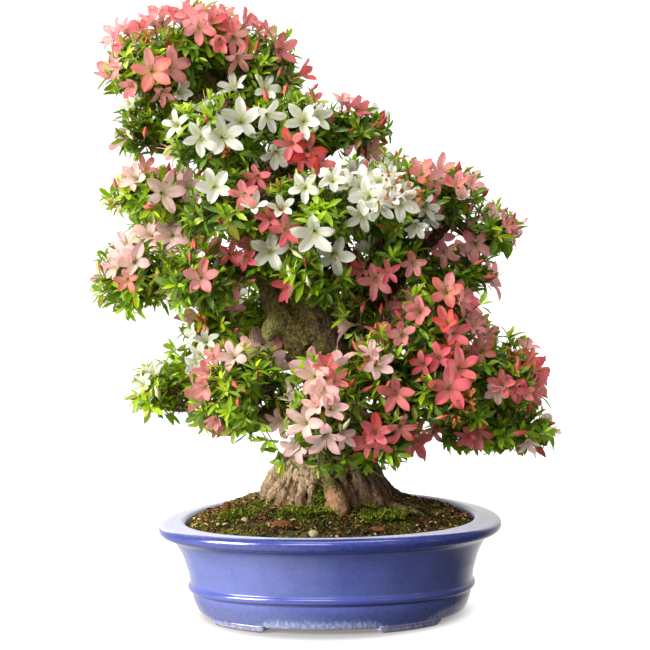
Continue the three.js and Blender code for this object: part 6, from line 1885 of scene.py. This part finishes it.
def add_corollas(batch, foot, axis, up, radius, wide, opening, gen, wilt=0.0):
    """Five-lobed funnels. Each lobe is its own strip of the corolla, joined to its neighbours in the tube."""
    k = len(foot)
    u_, v_ = frames(axis, (0, 0, 1))
    roll = gen.normal(0, 0.35, k)
    variant = gen.integers(0, 8, k)
    length = 1.46 * radius
    for lobe in range(5):
        a_ = roll + lobe * 2 * math.pi / 5 + gen.normal(0, 0.06, k)
        out = np.cos(a_)[:, None] * u_ + np.sin(a_)[:, None] * v_
        tang = np.cross(axis, out)
        own = gen.normal(0, 0.11, (k, 1))
        curl = gen.normal(0.0, 0.16, (k, 1))
        ang = ANGLE[None] * (1 + (opening[:, None] + own) * smooth(0.2, 0.55, STATION)[None]) + curl * smooth(0.6, 1.0, STATION)[None]
        ang = ang + (wilt * gen.normal(0, 0.5, (k, 1)) if wilt else 0)
        size = gen.uniform(0.92, 1.08, (k, 1)) * (1.05 if lobe == 0 else 1.0)
        step = np.diff(STATION)[None] * length[:, None] * np.where(STATION[1:] > 0.4, size, 1.0)
        mid = (ang[:, 1:] + ang[:, :-1]) / 2
        rr = np.concatenate([np.zeros((k, 1)), np.cumsum(np.sin(mid) * step, 1)], 1) + 1.6
        zz = np.concatenate([np.zeros((k, 1)), np.cumsum(np.cos(mid) * step, 1)], 1)
        free = smooth(0.30, 0.50, STATION)[None]
        half = np.interp((STATION - 0.38) / 0.62, LOBE_U, LOBE_W)[None] * (wide * radius * gen.uniform(0.9, 1.1, k))[:, None]
        half = np.minimum(half, rr * 0.95 + 1.0)
        cup = gen.uniform(-0.12, 0.34, k)[:, None] * free
        twist = gen.normal(0, 0.22, k)[:, None] * smooth(0.45, 1.0, STATION)[None]
        ruffle = gen.uniform(0.6, 1.9, k)[:, None] * smooth(0.5, 0.9, STATION)[None] * radius[:, None] / 22
        phase = gen.uniform(0, 6.28, k)[:, None]
        bow = gen.normal(0, 0.09, k)[:, None] * smooth(0.4, 1, STATION)[None] * radius[:, None]
        verts = np.zeros((k, 9, 7, 3))
        inward = -np.cos(ang)[..., None] * out[:, None] + np.sin(ang)[..., None] * axis[:, None]
        for c, x in enumerate(ACROSS):
            f1 = rr[..., None] * (math.cos(math.radians(36) * x) * out + math.sin(math.radians(36) * x) * tang)[:, None]
            f2 = rr[..., None] * out[:, None] + (x * half + bow)[..., None] * tang[:, None]
            lift = half * cup * x * x + half * twist * x + ruffle * np.sin(3.4 * x + phase + STATION[None] * 5) * abs(x) * 0.9
            lift = lift + free * (0.45 if lobe % 2 else -0.3)
            groove = -1.05 * math.exp(-((x / 0.25) ** 2)) * free * smooth(1.0, 0.7, STATION)[None]
            verts[:, :, c] = foot[:, None] + axis[:, None] * zz[..., None] + f1 * (1 - free)[..., None] + f2 * free[..., None] + inward * (lift + groove)[..., None]
        if wilt:
            verts = verts + gen.normal(0, wilt * 1.1, verts.shape)
        tile = np.where(lobe == 0, 8 + variant % 4, variant)
        t = tiles(tile, 4)
        grid = np.stack(np.meshgrid(STATION, 0.5 + 0.5 * ACROSS, indexing="ij")[::-1], -1)
        grid = np.broadcast_to(grid[None], (k, 9, 7, 2)).copy()
        w = (half / half.max(1, keepdims=True)).clip(0.15, 1)
        grid[..., 0] = 0.5 + (grid[..., 0] - 0.5) * w[..., None]
        uv = t[:, None, :2] + (0.03 + 0.94 * grid.reshape(k, 63, 2)) * t[:, None, 2:]
        batch.join(verts.reshape(k, 63, 3), [PETAL_QUADS], uv, 0)


OCTA = np.array([(0, 0, 1.0), (0.5, 0, 0), (0, 0.5, 0), (-0.5, 0, 0), (0, -0.5, 0), (0, 0, -1.0)])
OCTA_FACES = np.array([(0, 1, 2), (0, 2, 3), (0, 3, 4), (0, 4, 1), (5, 2, 1), (5, 3, 2), (5, 4, 3), (5, 1, 4)])


def add_middles(batch, foot, axis, radius, gen):
    """Stamens, pistil, calyx and stalk."""
    k = len(foot)
    u_, v_ = frames(axis, (0, 0, 1))
    thread = tiles(np.full(k, 12), 4)
    for s in range(6):
        a_ = gen.uniform(0, 2 * np.pi, k) if s < 5 else np.zeros(k)
        a_ = s * 2 * math.pi / 5 + gen.normal(0, 0.3, k) if s < 5 else a_
        out = np.cos(a_)[:, None] * u_ + np.sin(a_)[:, None] * v_
        spread = gen.uniform(0.10, 0.24, k) * radius if s < 5 else 0.05 * radius
        tall = radius * (gen.uniform(0.95, 1.3, k) if s < 5 else gen.uniform(1.4, 1.6, k))
        rise = radius * gen.uniform(0.10, 0.28, k)
        t_ = np.linspace(0, 1, 4)[None, :, None]
        path = foot[:, None] + axis[:, None] * (radius * 0.2)[:, None, None] + axis[:, None] * (tall - radius * 0.2)[:, None, None] * t_ + out[:, None] * np.asarray(spread)[:, None, None] * t_ ** 1.4 + u_[:, None] * rise[:, None, None] * (t_**2)
        rad_ = np.full((k, 4), 0.27 if s < 5 else 0.34)
        tubes(batch, path, rad_, 3, thread, 1)
        end = path[:, -1]
        d = unit(path[:, -1] - path[:, -2])
        a1, a2 = frames(d, (1, 0.1, 0.2))
        size = (0.85, 0.8) if s < 5 else (0.7, 1.1)
        o = OCTA[None] * np.array([size[1], size[1], size[0]])
        verts = end[:, None] + o[..., :1] * a1[:, None] + o[..., 1:2] * a2[:, None] + o[..., 2:] * d[:, None]
        t = tiles(np.full(k, 13), 4)
        uv = t[:, None, :2] + np.broadcast_to(0.5 + 0.4 * OCTA[None, :, [0, 2]], (k, 6, 2)) * t[:, None, 2:]
        batch.add(verts, OCTA_FACES, uv, 2)
    green = tiles(np.full(k, 14), 4)
    path = foot[:, None] + axis[:, None] * np.array([-6.0, -4.0, -1.5, -0.2])[None, :, None]
    tubes(batch, path, np.tile((0.8, 0.9, 2.0, 1.3), (k, 1)), 6, green, 3)


BUD_T = np.array([0, 0.12, 0.3, 0.5, 0.7, 0.86])
BUD_R = np.array([0.35, 0.72, 1.0, 0.92, 0.62, 0.3])


def add_buds(batch, foot, axis, length, gen, material=4):
    k = len(foot)
    u_, v_ = frames(axis, (0.2, 0.1, 1))
    a_ = np.arange(10) / 10 * 2 * np.pi
    wide = length * gen.uniform(0.15, 0.20, k)
    rings = []
    for t_, r_ in zip(BUD_T, BUD_R):
        twist = a_[None] + t_ * 1.6
        groove = 1 + 0.13 * np.cos(5 * a_)[None]
        ring = (np.cos(twist)[..., None] * u_[:, None] + np.sin(twist)[..., None] * v_[:, None]) * (wide[:, None] * r_ * groove)[..., None]
        rings.append(foot[:, None] + axis[:, None] * (length * t_)[:, None, None] + ring + u_[:, None] * (length * 0.06 * t_ * t_)[:, None, None])
    verts = np.concatenate([np.stack(rings, 1).reshape(k, -1, 3), (foot + axis * length[:, None] + u_ * (length * 0.06)[:, None])[:, None]], 1)
    uv = np.zeros((k, 61, 2))
    uv[:, :60, 0] = np.tile(1 - np.abs(2 * np.arange(10) / 10 - 1), 6)
    uv[:, :60, 1] = np.repeat(BUD_T, 10)
    uv[:, 60] = (0.5, 1.0)
    t = tiles(np.full(k, 15), 4)
    uv = t[:, None, :2] + (0.04 + 0.92 * uv) * t[:, None, 2:]
    quads, tris = tube_faces(6, 10)
    batch.join(verts, [quads, tris], uv, material)
    green = tiles(np.full(k, 14), 4)
    path = foot[:, None] + axis[:, None] * np.array([-5.0, -2.0, 0.3, 2.6])[None, :, None]
    tubes(batch, path, np.stack([np.full(k, 0.7), np.full(k, 0.9), wide * 0.62, wide * 0.75], 1), 6, green, 3)


PETALS = {
    "white": petal_material("petal_white", srgb(245, 244, 237), srgb(241, 239, 228), srgb(228, 230, 176), srgb(214, 222, 128), srgb(170, 186, 84), 0.12),
    "pale": petal_material("petal_pale", srgb(250, 184, 187), srgb(252, 216, 212), srgb(248, 220, 196), srgb(222, 208, 140), srgb(206, 96, 112), 0.3),
    "pink": petal_material("petal_pink", srgb(242, 120, 131), srgb(249, 162, 163), srgb(247, 182, 154), srgb(216, 182, 120), srgb(184, 44, 76), 0.45),
    "salmon": petal_material("petal_salmon", srgb(238, 84, 102), srgb(246, 118, 126), srgb(242, 140, 122), srgb(212, 148, 98), srgb(156, 24, 50), 0.5),
}
THREADS = {
    "white": strand_material("filament_white", srgb(226, 228, 170), srgb(248, 248, 232), 0.5, 0.2),
    "pale": strand_material("filament_pale", srgb(236, 214, 180), srgb(250, 218, 212), 0.5, 0.2),
    "pink": strand_material("filament_pink", srgb(232, 164, 140), srgb(246, 172, 176), 0.5, 0.2),
    "salmon": strand_material("filament_salmon", srgb(218, 124, 100), srgb(240, 138, 134), 0.5, 0.2),
}
anther_m = strand_material("anther", srgb(158, 120, 72), srgb(214, 184, 122), 0.7)
calyx_m = strand_material("calyx", srgb(86, 104, 40), srgb(140, 160, 70), 0.6)
BUD_M = {
    "C": strand_material("bud_cream", srgb(176, 190, 96), srgb(246, 244, 214), 0.5, 0.15),
    "R": strand_material("bud_red", srgb(216, 118, 96), srgb(208, 62, 72), 0.45, 0.15),
    "K": strand_material("bud_pink", srgb(226, 130, 110), srgb(238, 110, 120), 0.45, 0.15),
}
wilt_m = strand_material("faded_petal", srgb(168, 98, 44), srgb(226, 160, 88), 0.8, 0.3)

gen = np.random.default_rng(37)
groups = {}
for f_ in flowers:
    groups.setdefault((f_[3], ZONES[f_[4]]), []).append(f_)
loose = {}
for b in buds:
    kind = {"C": "white", "R": "salmon", "O": "salmon"}[b[3]]
    loose.setdefault((kind, ZONES[b[4]]), []).append(b)
for key in sorted(set(groups) | set(loose)):
    kind, zone = key
    batch = Batch()
    some = groups.get(key, [])
    if some:
        at = np.array([f_[0] for f_ in some])
        axis = np.array([f_[1] for f_ in some])
        rad = np.array([f_[2] for f_ in some])
        foot = at - axis * (rad * 0.72)[:, None]
        wide = gen.uniform(0.24, 0.32, len(some)) * {"white": 1.05, "pale": 1.12}.get(kind, 1.0)
        opening = gen.normal(0.0, 0.15, len(some)) - 0.34 * (gen.random(len(some)) < 0.2)
        add_corollas(batch, foot, axis, None, rad, wide, opening, gen)
        add_middles(batch, foot, axis, rad, gen)
    closed = [b for b in loose.get(key, []) if b[3] != "O"]
    if closed:
        axis = np.array([b[1] for b in closed])
        ln = np.array([b[2] for b in closed])
        add_buds(batch, np.array([b[0] for b in closed]) - axis * (ln * 0.5)[:, None], axis, ln, gen)
    faded = [b for b in loose.get(key, []) if b[3] == "O"]
    if faded:
        axis = np.array([b[1] for b in faded])
        ln = np.array([b[2] for b in faded])
        sub = Batch()
        add_corollas(sub, np.array([b[0] for b in faded]) - axis * (ln * 0.6)[:, None], axis, None, ln * 0.78, np.full(len(faded), 0.22), np.full(len(faded), -0.35), gen, 0.8)
        for w in sub.f:
            batch.f.setdefault(w, []).extend([f_ + batch.n for f_ in sub.f[w]])
            batch.uv.setdefault(w, []).extend(sub.uv[w])
            batch.m.setdefault(w, []).extend([m_ * 0 + 5 for m_ in sub.m[w]])
        batch.v.extend(sub.v)
        batch.n += sub.n
    ob = batch.object(f"flowers_{kind}_{zone}", [PETALS[kind], THREADS[kind], anther_m, calyx_m, BUD_M["C" if kind == "white" else "R"], wilt_m])
    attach(ob, "root")
for name, foot, d, kind, pad in special:
    batch = Batch()
    foot, d = foot[None], d[None]
    add_corollas(batch, foot + d * 2, d, None, np.array([21.0]), np.array([0.29]), np.array([0.0]), gen)
    add_middles(batch, foot + d * 2, d, np.array([21.5]), gen)
    ob = batch.object(name + "_open", [PETALS[kind], THREADS[kind], anther_m, calyx_m])
    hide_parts(name)
    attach(ob, "root")
